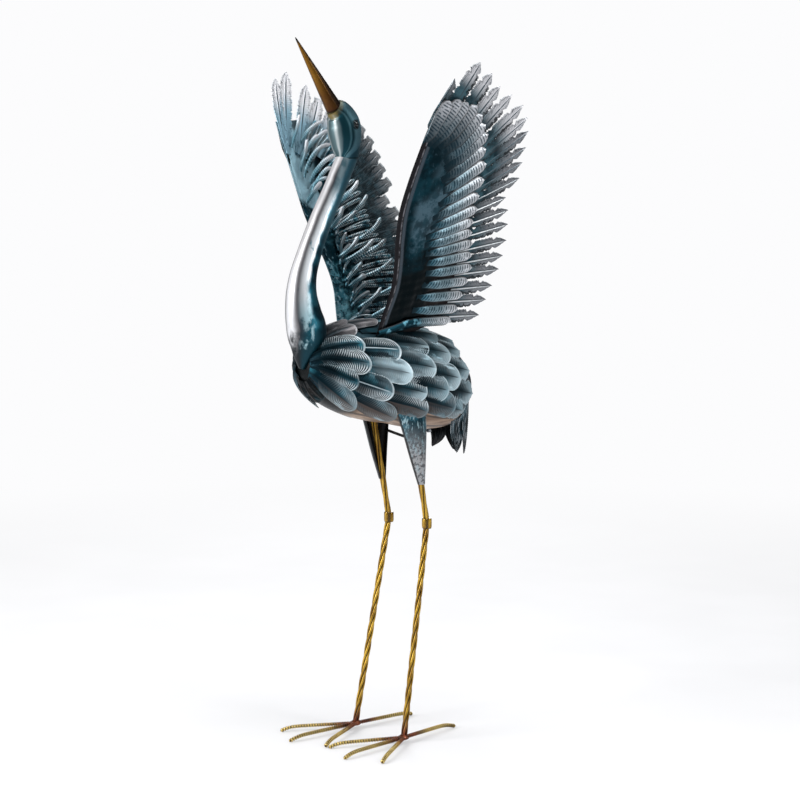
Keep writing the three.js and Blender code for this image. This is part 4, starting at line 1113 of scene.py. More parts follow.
def gold_material():
    """Gold on the legs and toes, and copper as far as the mark tone says, round the welds. Where the mark
    crest is low the paint puts shade, and on the crests of the toes' ribs it puts highlights.
    """
    coat = Coat("antique gold paint", 0.75, 0.3, 0.15)
    crest, copper, ring = coat.marks("crest", "tone", "ring")
    streaks = coat.grain(90.0, 4.0, (1, 1, 0.35))
    brushed = coat.step(streaks, 0.35, 0.65)
    gold = coat.mix(brushed, (136, 98, 18), (204, 164, 58))
    coat.colour = coat.mix(copper, gold, coat.mix(brushed, (88, 44, 26), (150, 78, 48)))
    # Painted highlights on the crests of the toes' ribs
    coat.spray(coat.times(ring, crest, coat.rest(copper)), (226, 204, 132), 0.75)
    # Painted shade where the mark crest is low: between the leg's wires, in the toes' rib valleys and on the
    # knee bands
    coat.spray(coat.rest(crest), (40, 26, 6), 0.9)
    return coat.close(coat.step(streaks, 0.2, 0.8, 0.28, 0.45), streaks, 0.2, 0.0006)


FEATHER_PAINT = feather_material()
COVERT_PAINT = covert_material()
PRIMARY_PAINT = primary_material()
STRIP_PAINT = inner_strip_material()
TAIL_PAINT = tail_material()
PLATE_PAINT = plate_material()
BELLY_PAINT = egg_material()
SLEEVE_PAINT = sleeve_material()
NECK_PAINT = neck_material()
HEAD_PAINT = head_material()
BEAK_PAINT = beak_material()
GOLD_PAINT = gold_material()
BLACK_GLOSS = plain_material(
    "black bead", (6, 6, 8), (14, 14, 16), (40, 40, 44),
    size=60.0, patches=0.5, wear=0.1, roughness=0.1, metallic=0.0, lacquer=1.0,
)
ROD_PAINT = plain_material(
    "black rod paint", (8, 8, 8), (24, 24, 24), (70, 66, 60),
    size=80.0, patches=1.0, wear=0.4, roughness=0.5, metallic=0.3, lacquer=0.0,
)
ZINC = plain_material(
    "dull zinc", (120, 122, 126), (160, 162, 166), (160, 160, 160),
    size=200.0, patches=1.0, wear=0.4, roughness=0.45, metallic=0.8, lacquer=0.0,
)

# Flat blades, each made once
FEATHER_HALF = (0.05, 0.12, 0.26, 0.44, 0.62, 0.78, 0.9, 0.97, 1)
FEATHER_COLUMNS = [-c for c in reversed(FEATHER_HALF)] + [0] + list(FEATHER_HALF)
BLADE_COLUMNS = (-1, -0.9, -0.7, -0.4, -0.14, 0, 0.14, 0.4, 0.7, 0.9, 1)
STRIP_COLUMNS = (-1, -0.75, -0.4, 0, 0.4, 0.75, 1)
FEATHER = flat_blade(
    "flat feather", 21, 0.2, FEATHER_COLUMNS, open_outline,
    slant=0.14, ridge=0.8, crown=2.6, midrib=0.45, rim=0.6, tip=0.19,
)
TORN = flat_blade(
    "flat torn feather", 18, 0.2, FEATHER_COLUMNS, round_outline(0.6, 0.5, 0.8),
    slant=0.2, ridge=0.5, crown=2.2, midrib=0.45, rim=0.3, ragged=0.35,
)
COVERT = flat_blade(
    "flat covert", 16, 0.1, BLADE_COLUMNS, round_outline(0.6, 0.4, 0.86),
    slant=0.0, ridge=0.7, crown=3.4, midrib=0.0, lean=-0.05,
)
PRIMARY = flat_blade(
    "flat primary", 34, 0.1, BLADE_COLUMNS, lance_outline,
    slant=0.06, ridge=0.45, crown=1.2, midrib=1.0, ragged=0.22,
)
SPEAR = flat_blade(
    "flat spear", 34, 0.1, BLADE_COLUMNS, spear_outline,
    slant=0.06, ridge=0.45, crown=0.8, midrib=-0.8, ragged=0.3,
)
BLUNT = flat_blade(
    "flat blunt blade", 34, 0.1, BLADE_COLUMNS, blunt_outline,
    slant=0.06, ridge=0.45, crown=0.8, midrib=0.6, ragged=0.14, frayed=0.04,
)
CURL = flat_blade(
    "flat curl", 16, 0.1, STRIP_COLUMNS, round_outline(0.7, 0.3, 0.9),
    slant=0.04, ridge=0.35, crown=1.3, midrib=0.0,
)
BEADED = flat_blade(
    "flat beaded strip", 22, 0.1, STRIP_COLUMNS, round_outline(0.8, 0.3, 0.9),
    slant=0.06, ridge=0.9, crown=1.4, midrib=0.0,
)
SHOULDER = flat_blade(
    "flat shoulder feather", 18, 0.5, BLADE_COLUMNS, round_outline(0.5, 0.35, 0.92),
    slant=0.0, ridge=0.7, crown=3.6, midrib=0.0, lean=-0.03,
)
TAIL = flat_blade(
    "flat tail blade", 22, 0.1, BLADE_COLUMNS, tail_outline,
    slant=0.12, ridge=0.5, crown=1.4, midrib=0.6,
)


# Body and its feathers
def make_body():
    """The egg under the feathers."""
    select_only()
    bpy.ops.mesh.primitive_uv_sphere_add(segments=64, ring_count=48, radius=1)
    body = bpy.context.object
    x, y, z = points_of(body).T
    along = np.degrees(np.arccos(np.clip(-z, -1, 1)))
    around = np.degrees(np.arctan2(x, y))
    set_points(body, in_place(body_point(along, around, 0)))
    select_only(body)
    bpy.ops.object.mode_set(mode="EDIT")
    bpy.ops.mesh.select_all(action="SELECT")
    bpy.ops.mesh.normals_make_consistent(inside=False)
    bpy.ops.object.mode_set(mode="OBJECT")
    finish_piece(body, "body_egg", BELLY_PAINT, ["body_shell"])


def girth_at(along):
    """The body's mean radius there."""
    return (BODY_HALF_WIDTH + BODY_HALF_HEIGHT) / 2 * np.sin(np.radians(along)) ** BODY_FULLNESS


def feather_place(side, tip, fan, raise_by, tip_lift):
    """Where a feather lies on the body, from its tip's place and its reach."""
    tip_along, tip_round, reach = tip
    def place(s, aside, height):
        along = tip_along - reach + reach * s
        around = tip_round * (1 - fan * (1 - s)) + np.degrees(aside / girth_at(along))
        lift = FEATHER_LIFT_ROOT + (tip_lift - FEATHER_LIFT_ROOT) * s + raise_by
        return body_point(along, side * around, lift + height)
    return place


def make_feather_row(name, row, finish, side=1, blade=None, raise_by=0.0, tip_lift=FEATHER_LIFT_TIP, **marks):
    """One row of feathers, each a little over or under its neighbours."""
    blade = blade or FEATHER
    lower = points_of(blade)[:, 1] > 1e-4
    blades = []
    for number, tip in enumerate(row["tips"]):
        lift = raise_by + ROW_SINK + ROW_STAGGER * (number % 2)
        place = feather_place(side, tip, row["fan"], lift, tip_lift)
        ribs_up, ribs_low, pale_up, pale_low, rim, deep = finish[number % len(finish)]
        blades.append(lay(
            blade, place, row["half_width"], ribbing=np.where(lower, ribs_low, ribs_up),
            tone=np.where(lower, pale_low, pale_up), rim=rim, deep=deep, **marks,
        ))
    sheet_work(blades, f"{name}_ribbed", FEATHER_PAINT, [name])


def make_rump_feathers():
    """Feathers that hang straight down over the body's rear end."""
    ribbing, _, tone, _, rim, deep = BACK_FINISH[0]
    blades = []
    for level, tips in enumerate(RUMP_TIPS):
        for number, (tip_aside, tip_up) in enumerate(tips):
            def place(s, aside, height):
                up = tip_up + RUMP_REACH * (1 - s)
                off = tip_aside + aside / RUMP_MM_PER_DEGREE
                lift = RUMP_LIFT + RUMP_TIP_LIFT * s + RUMP_LEVEL_STEP * (2 - level)
                lift += RUMP_STAGGER * (number % 2)
                around = np.degrees(np.arctan2(off, up))
                return body_point(180 - np.hypot(off, up), around, lift + RUMP_FLATNESS * height)
            blades.append(lay(TORN, place, RUMP_HALF_WIDTH, ribbing=ribbing, tone=tone, rim=rim, deep=deep))
    sheet_work(blades, "rump_feathers_ribbed", FEATHER_PAINT, [])


def make_body_feathers():
    """All rows. The last ones are torn blades, and the first ones on the back are bare metal."""
    for number, row in enumerate(BACK_FEATHERS, 1):
        blade = FEATHER if number <= WHOLE_BACK_ROWS else TORN
        lift = REAR_LIFTS.get(number, FEATHER_LIFT_TIP)
        bare = float(number <= BARE_BACK_ROWS)
        make_feather_row(f"back_feathers_{number}", row, BACK_FINISH, blade=blade, tip_lift=lift, bare=bare)
    for side_name, side in SIDES:
        for number, (row, finish) in enumerate(zip(FLANK_FEATHERS, FLANK_FINISH), 1):
            blade = FEATHER if number <= WHOLE_FLANK_ROWS else TORN
            lift = REAR_LIFTS.get(number, FEATHER_LIFT_TIP)
            make_feather_row(f"{side_name}_flank_feathers_{number}", row, finish, side, blade, tip_lift=lift)
    make_feather_row(
        "breast_feathers", BREAST_FEATHERS, BREAST_FINISH, raise_by=-0.4, tip_lift=2.4, dusk=0.85,
    )
    make_rump_feathers()


def bent_line(root, bend, tip, s):
    """Places along a curve that leaves its root towards the bend, and the way it runs there."""
    t = s[:, None]
    places = root * (1 - t) ** 2 + 2 * bend * t * (1 - t) + tip * t**2
    return places, (bend - root) * (1 - t) + (tip - bend) * t


def make_tail():
    """Four blades that hang from the rump, the right ones a little higher."""
    for side_name, side in SIDES:
        for name, root, bend, tip, aside, half_width in TAIL_BLADES:
            root, bend, tip, across = (np.array(p, float) for p in (root, bend, tip, aside))
            def place(s, offset, height):
                p, ahead = bent_line(root, bend, tip, s)
                out = np.cross(ahead, across)
                out /= np.linalg.norm(out, axis=1)[:, None]
                p = p + across * offset[:, None] - out * height[:, None]
                p[:, 2] += RIGHT_TAIL_RISE * (side < 0) * s**2
                return p * (side, 1, 1)
            node = f"{side_name}_{name}_tail_feather"
            sheet_work([lay(TAIL, place, half_width)], f"{node}_ribbed", TAIL_PAINT, [node])


# Neck, head, beak and eyes
def line_tube(line):
    """A tube's points round a middle line of the neck's kind."""
    def place(share, turn):
        at = smooth_line(line, share)
        step = 1e-3
        ahead = smooth_line(line, share + step)[:, :2] - smooth_line(line, share - step)[:, :2]
        ahead /= np.linalg.norm(ahead, axis=1)[:, None]
        y = at[:, 0] - ahead[:, 1] * at[:, 2] * np.cos(turn)
        z = at[:, 1] + ahead[:, 0] * at[:, 2] * np.cos(turn)
        return in_place(np.stack([at[:, 3] * np.sin(turn), y, z], 1))
    return place


def make_neck_and_head():
    """Two rolled tubes, with the head's slipped over the neck's end."""
    neck = rolled_tube("neck", 72, 48, line_tube(NECK_LINE))
    finish_piece(neck, "neck_sheet", NECK_PAINT, ["neck"], 80)
    head = rolled_tube("head", 40, 48, line_tube(HEAD_LINE))
    finish_piece(head, "head_sheet", HEAD_PAINT, ["head"], 60)


def make_beak():
    """A long cone with a groove for the mouth along each side."""
    root, tip = np.array(BEAK_ROOT, float), np.array(BEAK_TIP, float)
    axis = (tip - root) / np.linalg.norm(tip - root)
    up = np.array([0, axis[2], -axis[1]])
    def place(share, turn):
        radius = BEAK_TIP_RADIUS + (BEAK_RADIUS - BEAK_TIP_RADIUS) * (1 - share) ** 0.96
        mouth = MOUTH_DEPTH * np.exp(-(((np.abs(turn - np.pi) - np.pi / 2) / 0.09) ** 2))
        radius = radius * fade(share, 1.02, 0.985) - mouth * np.clip(radius / 3, 0, 1)
        p = root + (tip - root) * share[:, None]
        p = p + up * (radius * np.cos(turn))[:, None]
        p[:, 0] += radius * np.sin(turn)
        return in_place(p)
    beak = rolled_tube("beak", 48, 48, place)
    finish_piece(beak, "beak_cone", BEAK_PAINT, ["beak"], 60)


def make_eyes():
    for side_name, side in SIDES:
        centre = in_place((side * EYE[0], EYE[1], EYE[2]))
        radius = EYE_RADIUS * MM
        select_only()
        bpy.ops.mesh.primitive_uv_sphere_add(segments=24, ring_count=16, radius=radius, location=centre)
        bead = bpy.context.object
        apply_place(bead)
        finish_piece(bead, f"{side_name}_eye_bead", BLACK_GLOSS, [f"{side_name}_eye"])


# Wings
def hill(value, top, width):
    """1 at the top and nearly 0 a few widths away."""
    return np.exp(-(((value - top) / width) ** 2))


def make_wing_plate(side_name, side):
    """A crumpled sheet with a rolled leading edge, which also carries the blades' roots."""
    rows, columns = 110, 36
    plate, i, j = grid_sheet("plate", rows, columns)
    share = i / rows
    front, back, under = (smooth_line(line, share) for line in (WING_EDGE, WING_BACK, WING_UNDER))
    last = len(FLANGE_COLUMNS) - 1
    reach = np.linalg.norm(under - front, axis=1)
    beyond = (j - last) / (columns - last)
    edge = np.interp(j, range(last + 1), FLANGE_COLUMNS)
    edge = np.where(j <= last, edge, FLANGE_COLUMNS[-1] * (1 - beyond) + reach * beyond)
    across = edge / reach
    u = front[:, 0] + (under[:, 0] - front[:, 0]) * across
    v = front[:, 1] + (under[:, 1] - front[:, 1]) * across
    rolled = np.sqrt(np.maximum(1 - ((edge - FLANGE_HALF) / FLANGE_HALF) ** 2, 0))
    bead = FLANGE_RISE * rolled - 0.5 * hill(edge, 10, 0.8)
    crumple = CRUMPLE[side] * fade(edge, 12, 22) * (0.5 + hill(v, 60, 40) + hill(v, 170, 30))
    dents = np.sin(u / 7 + v / 11) * np.sin(v / 8 - u / 15)
    dents = dents + 0.8 * np.sin(u / 3.4 - v / 5 + 1) * np.sin(v / 4 + u / 6)
    set_points(plate, in_place(wing_point(side, u, v, PLATE_LAYER + bead - 0.9 * crumple * dents)))
    set_uv(plate, share, across)
    float_attribute(plate, "edge", edge / 100)
    float_attribute(plate, "up", v / 100)
    float_attribute(plate, "under", fade(u - back[:, 0], -14, 0))
    name = f"{side_name}_wing_plate"
    apply_modifier(plate, "SOLIDIFY", thickness=PLATE_SHEET * MM, offset=0)
    finish_piece(plate, f"{name}_sheet", PLATE_PAINT, [name])


def uneven_tip(points, steps):
    """The tip at a share of the way down the fan, where its points stand at uneven steps."""
    points, steps = np.array(points, float), np.array(steps, float)
    numbers = np.arange(len(points)) / (len(points) - 1)
    def tip_at(share):
        return smooth_line(points, np.interp(share * steps[-1], steps, numbers))
    return tip_at


def even_tip(points):
    return uneven_tip(points, range(len(points)))


def fan_angle(share):
    """How steeply the blades stand, from the top one to the level one at the foot."""
    return math.radians(TOP_BLADE_ANGLE * (1 - share) ** 1.5)


def fan_place(side, tip, angle, length, layer, rise=0.0, curl=0.0, face=1, sink=0.0, tilt=0.0):
    """Where a blade lies in a fan: rise lifts its tip, curl bends it sideways, face -1 turns it over,
    sink lets its root down to the plate and tilt raises one edge."""
    def place(s, aside, height):
        back = length * (1 - s)
        off = aside - curl * length * 4 * s * (1 - s)
        u = tip[0] - math.cos(angle) * back + math.sin(angle) * off
        v = tip[1] - math.sin(angle) * back - math.cos(angle) * off
        lead = np.interp(v, *LEAD_LINES[side]) + 0.5
        u = np.where(u < lead, lead + 0.04 * (u - lead), u)
        root = sink * (1 - fade(s, 0, 0.4))
        crown = (height + tilt * aside) * face * (1 - 0.9 * root)
        return wing_point(side, u, v, layer + rise * s * s + crown - root * (layer - PLATE_LAYER))
    return place


def fan_of(side, tip_at, count, layer, blade_at, uneven=0.0, **bends):
    """Blades fanned over the wing, from the top one down to the one over the body. blade_at gives each
    one's flat blade, length, half width and marks."""
    blades = []
    for number in range(count):
        share = number / (count - 1)
        tip, angle = tip_at(share), fan_angle(share)
        tip = tip + uneven * math.sin(2.4 * number) * np.array([math.cos(angle), math.sin(angle)])
        blade, length, half_width, marks = blade_at(number, share)
        place = fan_place(side, tip, angle, length, layer, **bends)
        blades.append(lay(blade, place, half_width, **marks))
    return blades


def primary_length(share, side):
    """The top blades have a length of their own, and the others grow towards the foot."""
    top_length = TOP_PRIMARY_LENGTH[side]
    length = PRIMARY_LENGTH + PRIMARY_GROWTH * math.sqrt(share)
    return top_length + (length - top_length) * fade(share, 0.1, 0.17)


def left_primary(number, share):
    """Lances, dusky at the very top, pale on the next six and lined lower down."""
    marks = {"pale": 0.4 * (0 < number < 7), "line": float(fade(number, 7, 13)), "dusk": 0.8 * (number == 0)}
    half_width = LANCE_HALF_WIDTH + LANCE_TOP_WIDER * (1 - fade(share, 0.1, 0.42))
    return PRIMARY, primary_length(share, 1), half_width, marks


def right_primary(number, share):
    """Three white spears, three paler blunt blades, and dusky blunt ones below them."""
    blade, pale = (SPEAR, 1.0) if number < TOP_BLADES else (BLUNT, 0.75 * (number < 6))
    marks = {"pale": pale, "line": 0.0, "dusk": 0.9 * (number >= 6)}
    return blade, primary_length(share, -1), BLUNT_HALF_WIDTH, marks


def make_primaries(side_name, side):
    tips = uneven_tip(PRIMARY_TOP_TIPS[side] + PRIMARY_TIPS, PRIMARY_TIP_STEPS)
    blade_at = left_primary if side_name == "left" else right_primary
    blades = fan_of(side, tips, PRIMARY_COUNT, PRIMARY_LAYER, blade_at)
    name = f"{side_name}_wing_primaries"
    sheet_work(blades, f"{name}_ribbed", PRIMARY_PAINT, [name])


def make_shoulder(side):
    """The lowest covert runs on along the wing's foot to its leading edge."""
    def place(s, aside, height):
        u = SHOULDER_START[0] + SHOULDER_LENGTH * s
        v = SHOULDER_START[1] + SHOULDER_RISE * fade(s, 0, 0.5) - aside
        return wing_point(side, u, v, COVERT_LAYER + 2.5 * (1 - s) + height)
    return lay(SHOULDER, place, SHOULDER_HALF_WIDTH, tone=1.3)


def make_coverts(side_name, side, rng):
    """Half-round strips over the primaries. The top ones stand lower on the right wing."""
    def covert(number, share):
        marks = {"tone": number / COVERT_COUNT + rng.uniform(-0.15, 0.15)}
        half_width = COVERT_HALF_WIDTH + COVERT_TOP_WIDER * (1 - fade(share, 0.3, 0.62))
        return COVERT, COVERT_LENGTH + COVERT_GROWTH * share, half_width, marks
    lower_by = TOP_COVERTS_LOWER[side]
    tips = even_tip([(u, v - lower_by * (k < 3)) for k, (u, v) in enumerate(COVERT_TIPS)])
    coverts = fan_of(side, tips, COVERT_COUNT, COVERT_LAYER, covert, uneven=2.2, sink=1.0, tilt=0.16)
    bpy.data.objects.remove(coverts.pop())
    name = f"{side_name}_wing_coverts"
    sheet_work(coverts + [make_shoulder(side)], f"{name}_ribbed", COVERT_PAINT, [name])


def make_curls(side, rng):
    """Loose strips on the inner side, which sweep up over the others."""
    curls = []
    for root, middle, tip in CURL_LINES:
        root, middle, tip = (np.array(p, float) for p in (root, middle, tip))
        bend = 2 * middle - (root + tip) / 2
        def place(s, aside, height):
            p, ahead = bent_line(root, bend, tip, s)
            ahead /= np.linalg.norm(ahead, axis=1)[:, None]
            u = p[:, 0] + ahead[:, 1] * aside
            v = p[:, 1] - ahead[:, 0] * aside
            return wing_point(side, u, v, INNER_LAYER - 1 - CURL_RISE * fade(s, 0, 0.7) - height)
        pale = rng.uniform(0.7, 1) if root[1] > PALE_CURLS_FROM else rng.uniform(0.15, 0.75)
        curls.append(lay(CURL, place, CURL_HALF_WIDTH * rng.uniform(0.8, 1.15), pale=pale))
    return curls


def make_lining(side, rng):
    """Short crumpled strips between the leading edge and the beaded ones, on the inner side."""
    tip_at = even_tip(LINING_TIPS)
    strips = []
    for number in range(LINING_COUNT):
        share = number / (LINING_COUNT - 1)
        angle = fan_angle(0.3 + 0.7 * share) + math.radians(rng.uniform(4, 38))
        place = fan_place(
            side, tip_at(share), angle, rng.uniform(44, 64), BEADED_LAYER - rng.uniform(0, 2),
            rise=-rng.uniform(2, 8), curl=rng.uniform(0.02, 0.12), face=-1,
        )
        half_width = LINING_HALF_WIDTH * rng.uniform(0.8, 1.2)
        strips.append(lay(BEADED, place, half_width, pale=rng.uniform(0.0, 0.5)))
    return strips


def make_beaded(side, rng):
    """Slender beaded strips in a fan over the inner side, under the loose ones."""
    tip_at = even_tip(COVERT_TIPS)
    strips = []
    for number in range(BEADED_COUNT):
        share = BEADED_FROM + (1 - BEADED_FROM) * number / (BEADED_COUNT - 1)
        length = BEADED_LENGTH + BEADED_GROWTH * share
        angle = fan_angle(share) + math.radians(rng.uniform(-5, 6))
        place = fan_place(
            side, tip_at(share), angle, length, BEADED_LAYER - 1.6 * (number % 2),
            rise=-rng.uniform(0, 4), curl=rng.uniform(-0.01, 0.05), face=-1,
        )
        strips.append(lay(BEADED, place, BEADED_HALF_WIDTH * rng.uniform(0.85, 1.15), pale=0.0))
    return strips


def make_wings():
    """Both wings. One random series serves all strips, so their order stays as it is."""
    rng = np.random.default_rng(WING_SEED)
    for side_name, side in SIDES:
        make_wing_plate(side_name, side)
        make_primaries(side_name, side)
        make_coverts(side_name, side, rng)
        strips = make_curls(side, rng) + make_lining(side, rng) + make_beaded(side, rng)
        node = f"{side_name}_wing_inner_curls"
        sheet_work(strips, f"{side_name}_wing_inner_strips", STRIP_PAINT, [node])


# Legs and feet
def bar_strands(start, end, pitch, first_turn, copper_to=0):
    """Four wires laid round each other along a bar, coppery from the start as far as copper_to."""
    start, end = np.array(start, float), np.array(end, float)
    length = np.linalg.norm(end - start)
    axis = (end - start) / length
    aside = np.cross(axis, (0, 1, 0))
    aside /= np.linalg.norm(aside)
    third = np.cross(axis, aside)
    rows = max(24, int(length / 3))
    strands = []
    for number in range(4):
        def place(share, turn):
            phase = first_turn + number * np.pi / 2 + 2 * np.pi * share * length / pitch
            out = aside * np.cos(phase)[:, None] + third * np.sin(phase)[:, None]
            round_it = aside * np.cos(turn + phase)[:, None] + third * np.sin(turn + phase)[:, None]
            p = start + axis * (share * length)[:, None]
            return in_place(p + out * STRAND_OFFSET + round_it * STRAND_RADIUS)
        strand = rolled_tube("strand", rows, 12, place)
        from_start = points_of(strand) - in_place(start)
        along = from_start @ axis
        off_axis = np.linalg.norm(from_start - np.outer(along, axis), axis=1) / MM
        # Crest is low on the wires' inner sides, where the paint puts shade between them
        float_attribute(strand, "crest", fade(off_axis, *STRAND_SHADE_FADE))
        float_attribute(strand, "tone", fade(along / MM, copper_to, 0) if copper_to else 0.0)
        strands.append(strand)
    return strands


def between(a, b, gap):
    """A place that far from a towards b."""
    a, b = np.array(a, float), np.array(b, float)
    return a + (b - a) / np.linalg.norm(b - a) * gap


def make_legs():
    """Each leg is a lower and an upper bar, with a sleeve at the knee and a foot."""
    for side_name, side in SIDES:
        knee, ankle, top = (np.array(p) * (side, 1, 1) for p in (KNEE, ANKLE, LEG_TOP))
        lower = bar_strands(between(ankle, knee, 1), between(knee, ankle, 4), LOWER_PITCH, 0.4, COPPER_REACH)
        upper = bar_strands(between(knee, top, 4), between(top, knee, 30), UPPER_PITCH, 1.0)
        for part, strands in (("lower_leg", lower), ("upper_leg", upper)):
            node = f"{side_name}_{part}"
            finish_piece(join(strands, part), f"{node}_rope", GOLD_PAINT, [node], 60)
        make_knee_sleeve(side_name, knee)
        make_foot(side_name, side, ankle)


def make_knee_sleeve(side_name, knee):
    """A strip of sheet bent round the joint, its two ends pressed together in front."""
    def place(share, turn):
        angle = turn + math.radians(KNEE_SEAM)
        from_seam = np.minimum(turn, 2 * np.pi - turn)
        ends = 1 - 0.1 * np.abs(2 * share - 1) ** 6
        pressed = 1.8 * hill(from_seam, 0, 0.22) - 0.4 * hill(from_seam, 0.7, 0.4)
        radius = (KNEE_SLEEVE_RADIUS - 0.6 - pressed) * ends
        z = (share - 0.5) * KNEE_SLEEVE_HEIGHT
        return in_place(knee + np.stack([radius * np.cos(angle), radius * np.sin(angle), z], 1))
    sleeve = rolled_tube("knee", 12, 48, place)
    off = points_of(sleeve) / MM - in_place(knee) / MM
    turned = np.degrees(np.arctan2(off[:, 1], off[:, 0])) - KNEE_SEAM
    turned = np.abs((turned + 180) % 360 - 180)
    ends = fade(np.abs(off[:, 2]) * 2 / KNEE_SLEEVE_HEIGHT, 0.7, 1)
    # Crest drops at the band's ends and along the pressed seam, where the paint puts shade
    float_attribute(sleeve, "crest", np.clip(0.8 - 0.7 * ends - 0.8 * (1 - fade(turned, 8, 24)), 0, 1))
    float_attribute(sleeve, "tone", 0.0)
    finish_piece(sleeve, f"{side_name}_knee_band", GOLD_PAINT, [f"{side_name}_knee_sleeve"], 45)


def make_foot(side_name, side, ankle):
    """A rough bead of weld, and the four toes that it holds."""
    centre = in_place((ankle[0], ankle[1], TOE_HEIGHT + 0.6))
    half_size = tuple(half * MM for half in WELD_HALF_SIZE)
    select_only()
    bpy.ops.mesh.primitive_ico_sphere_add(subdivisions=4, radius=1, location=centre, scale=half_size)
    weld = bpy.context.object
    apply_place(weld)
    texture = bpy.data.textures.new("weld bead", "CLOUDS")
    texture.noise_scale = 5 * MM
    rough = {"texture": texture, "strength": 2.5 * MM, "mid_level": 0.6, "texture_coords": "LOCAL"}
    apply_modifier(weld, "DISPLACE", **rough)
    float_attribute(weld, "crest", 0.9)
    float_attribute(weld, "tone", 1.0)
    node = f"{side_name}_foot_weld"
    finish_piece(weld, f"{node}_bead", GOLD_PAINT, [node], 60)
    root = np.array([ankle[0], ankle[1], TOE_HEIGHT])
    for name, (bend, end) in TOES.items():
        knuckle = np.array([bend[0] * side, bend[1], TOE_HEIGHT])
        tip = np.array([end[0] * side, end[1], TOE_RADIUS * 0.9])
        make_toe(f"{side_name}_{name}_toe", root, knuckle, tip)


def toe_rib(t):
    """The wire's ribs, from -1 to 1, that far from the weld's middle."""
    return np.cos(2 * np.pi * t / TOE_RIB_PITCH)


def make_toe(node, root, knuckle, tip):
    """A ribbed wire that runs level from the weld and bends down to the ground."""
    run, drop = knuckle - root, tip - knuckle
    run_length, drop_length = np.linalg.norm(run), np.linalg.norm(drop)
    run, drop = run / run_length, drop / drop_length
    length = run_length + drop_length
    def centre(t):
        turned = TOE_BEND * np.logaddexp(0, (t - run_length) / TOE_BEND)
        return root + run * (t - turned)[:, None] + drop * turned[:, None]
    def place(share, turn):
        t = TOE_START + (length - TOE_START) * share
        ahead = centre(t + 0.5) - centre(t - 0.5)
        ahead /= np.linalg.norm(ahead, axis=1)[:, None]
        aside = np.cross((0, 0, 1), ahead)
        aside /= np.linalg.norm(aside, axis=1)[:, None]
        up = np.cross(ahead, aside)
        radius = (TOE_RADIUS + TOE_RIB * toe_rib(t)) * fade(share, 1.006, 0.985)
        p = centre(t) + aside * (radius * np.cos(turn))[:, None] + up * (radius * np.sin(turn))[:, None]
        p[:, 2] = np.maximum(p[:, 2], 0.05)
        return in_place(p)
    toe = rolled_tube("toe", int(6 * length / TOE_RIB_PITCH), 12, place)
    from_root = np.linalg.norm(points_of(toe) - in_place(root), axis=1) / MM
    # Crest follows the ribs, so the paint puts highlights on their crests and shade in their valleys
    float_attribute(toe, "crest", np.clip(0.5 + 1.2 * toe_rib(np.maximum(from_root, TOE_START)), 0, 1))
    float_attribute(toe, "ring", 1.0)
    float_attribute(toe, "tone", 1 - fade(from_root, *TOE_COPPER_FADE))
    finish_piece(toe, f"{node}_ribbed", GOLD_PAINT, [node], 60)


def make_thighs():
    """Sheets bent to half cones round the upper legs, open inwards, with rolled side edges."""
    for side_name, side in SIDES:
        rows, columns = 40, 32
        sleeve, i, j = grid_sheet("thigh", rows, columns)
        at = smooth_line(THIGH_STATIONS, i / rows)
        across = 2 * j / columns - 1
        turn = np.radians(THIGH_WRAP * across)
        inset = 0.6 + 1.2 * fade(np.abs(across), 0.94, 1.0)
        x = side * (at[:, 2] + (at[:, 4] - inset) * np.cos(turn))
        y = at[:, 0] + (at[:, 3] - inset) * np.sin(turn)
        set_points(sleeve, in_place(np.stack([x, y, at[:, 1]], 1)))
        set_uv(sleeve, i / rows, j / columns)
        apply_modifier(sleeve, "SOLIDIFY", thickness=PLATE_SHEET * MM, offset=0)
        node = f"{side_name}_thigh_sleeve"
        finish_piece(sleeve, f"{side_name}_thigh_sheet", SLEEVE_PAINT, [node])
        make_screw(f"{side_name}_thigh_screw")
    make_tie_rod()


def make_screw(node):
    """A round head in the solid's place, a little proud of it at both ends."""
    low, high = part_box(node)
    select_only()
    bpy.ops.mesh.primitive_cylinder_add(
        vertices=24, radius=SCREW_RADIUS * MM, depth=high.y - low.y + 2 * MM,
        location=(low + high) / 2, rotation=(math.pi / 2, 0, 0),
    )
    screw = bpy.context.object
    apply_place(screw)
    bpy.ops.object.mode_set(mode="EDIT")
    bpy.ops.mesh.select_all(action="SELECT")
    bpy.ops.mesh.bevel(offset=SCREW_BEVEL * MM, segments=3, affect="EDGES")
    bpy.ops.object.mode_set(mode="OBJECT")
    finish_piece(screw, f"{node}_head", ZINC, [node], 40)


def make_tie_rod():
    """A thin rod from sleeve to sleeve, with its left end lower."""
    start, end = (np.array(p, float) for p in TIE_ROD)
    def place(share, turn):
        p = start + (end - start) * share[:, None]
        p[:, 2] += TIE_ROD_RADIUS * np.sin(turn) - TIE_ROD_SAG * np.sin(np.pi * share)
        p[:, 1] += TIE_ROD_RADIUS * np.cos(turn)
        return in_place(p)
    rod = rolled_tube("tie rod", 30, 14, place)
    finish_piece(rod, "tie_rod_wire", ROD_PAINT, ["tie_rod"], 60)


make_body()
make_body_feathers()
make_tail()
make_neck_and_head()
make_beak()
make_eyes()
make_wings()
make_legs()
make_thighs()
for flat in (FEATHER, TORN, COVERT, PRIMARY, SPEAR, BLUNT, CURL, BEADED, SHOULDER, TAIL):
    bpy.data.objects.remove(flat)


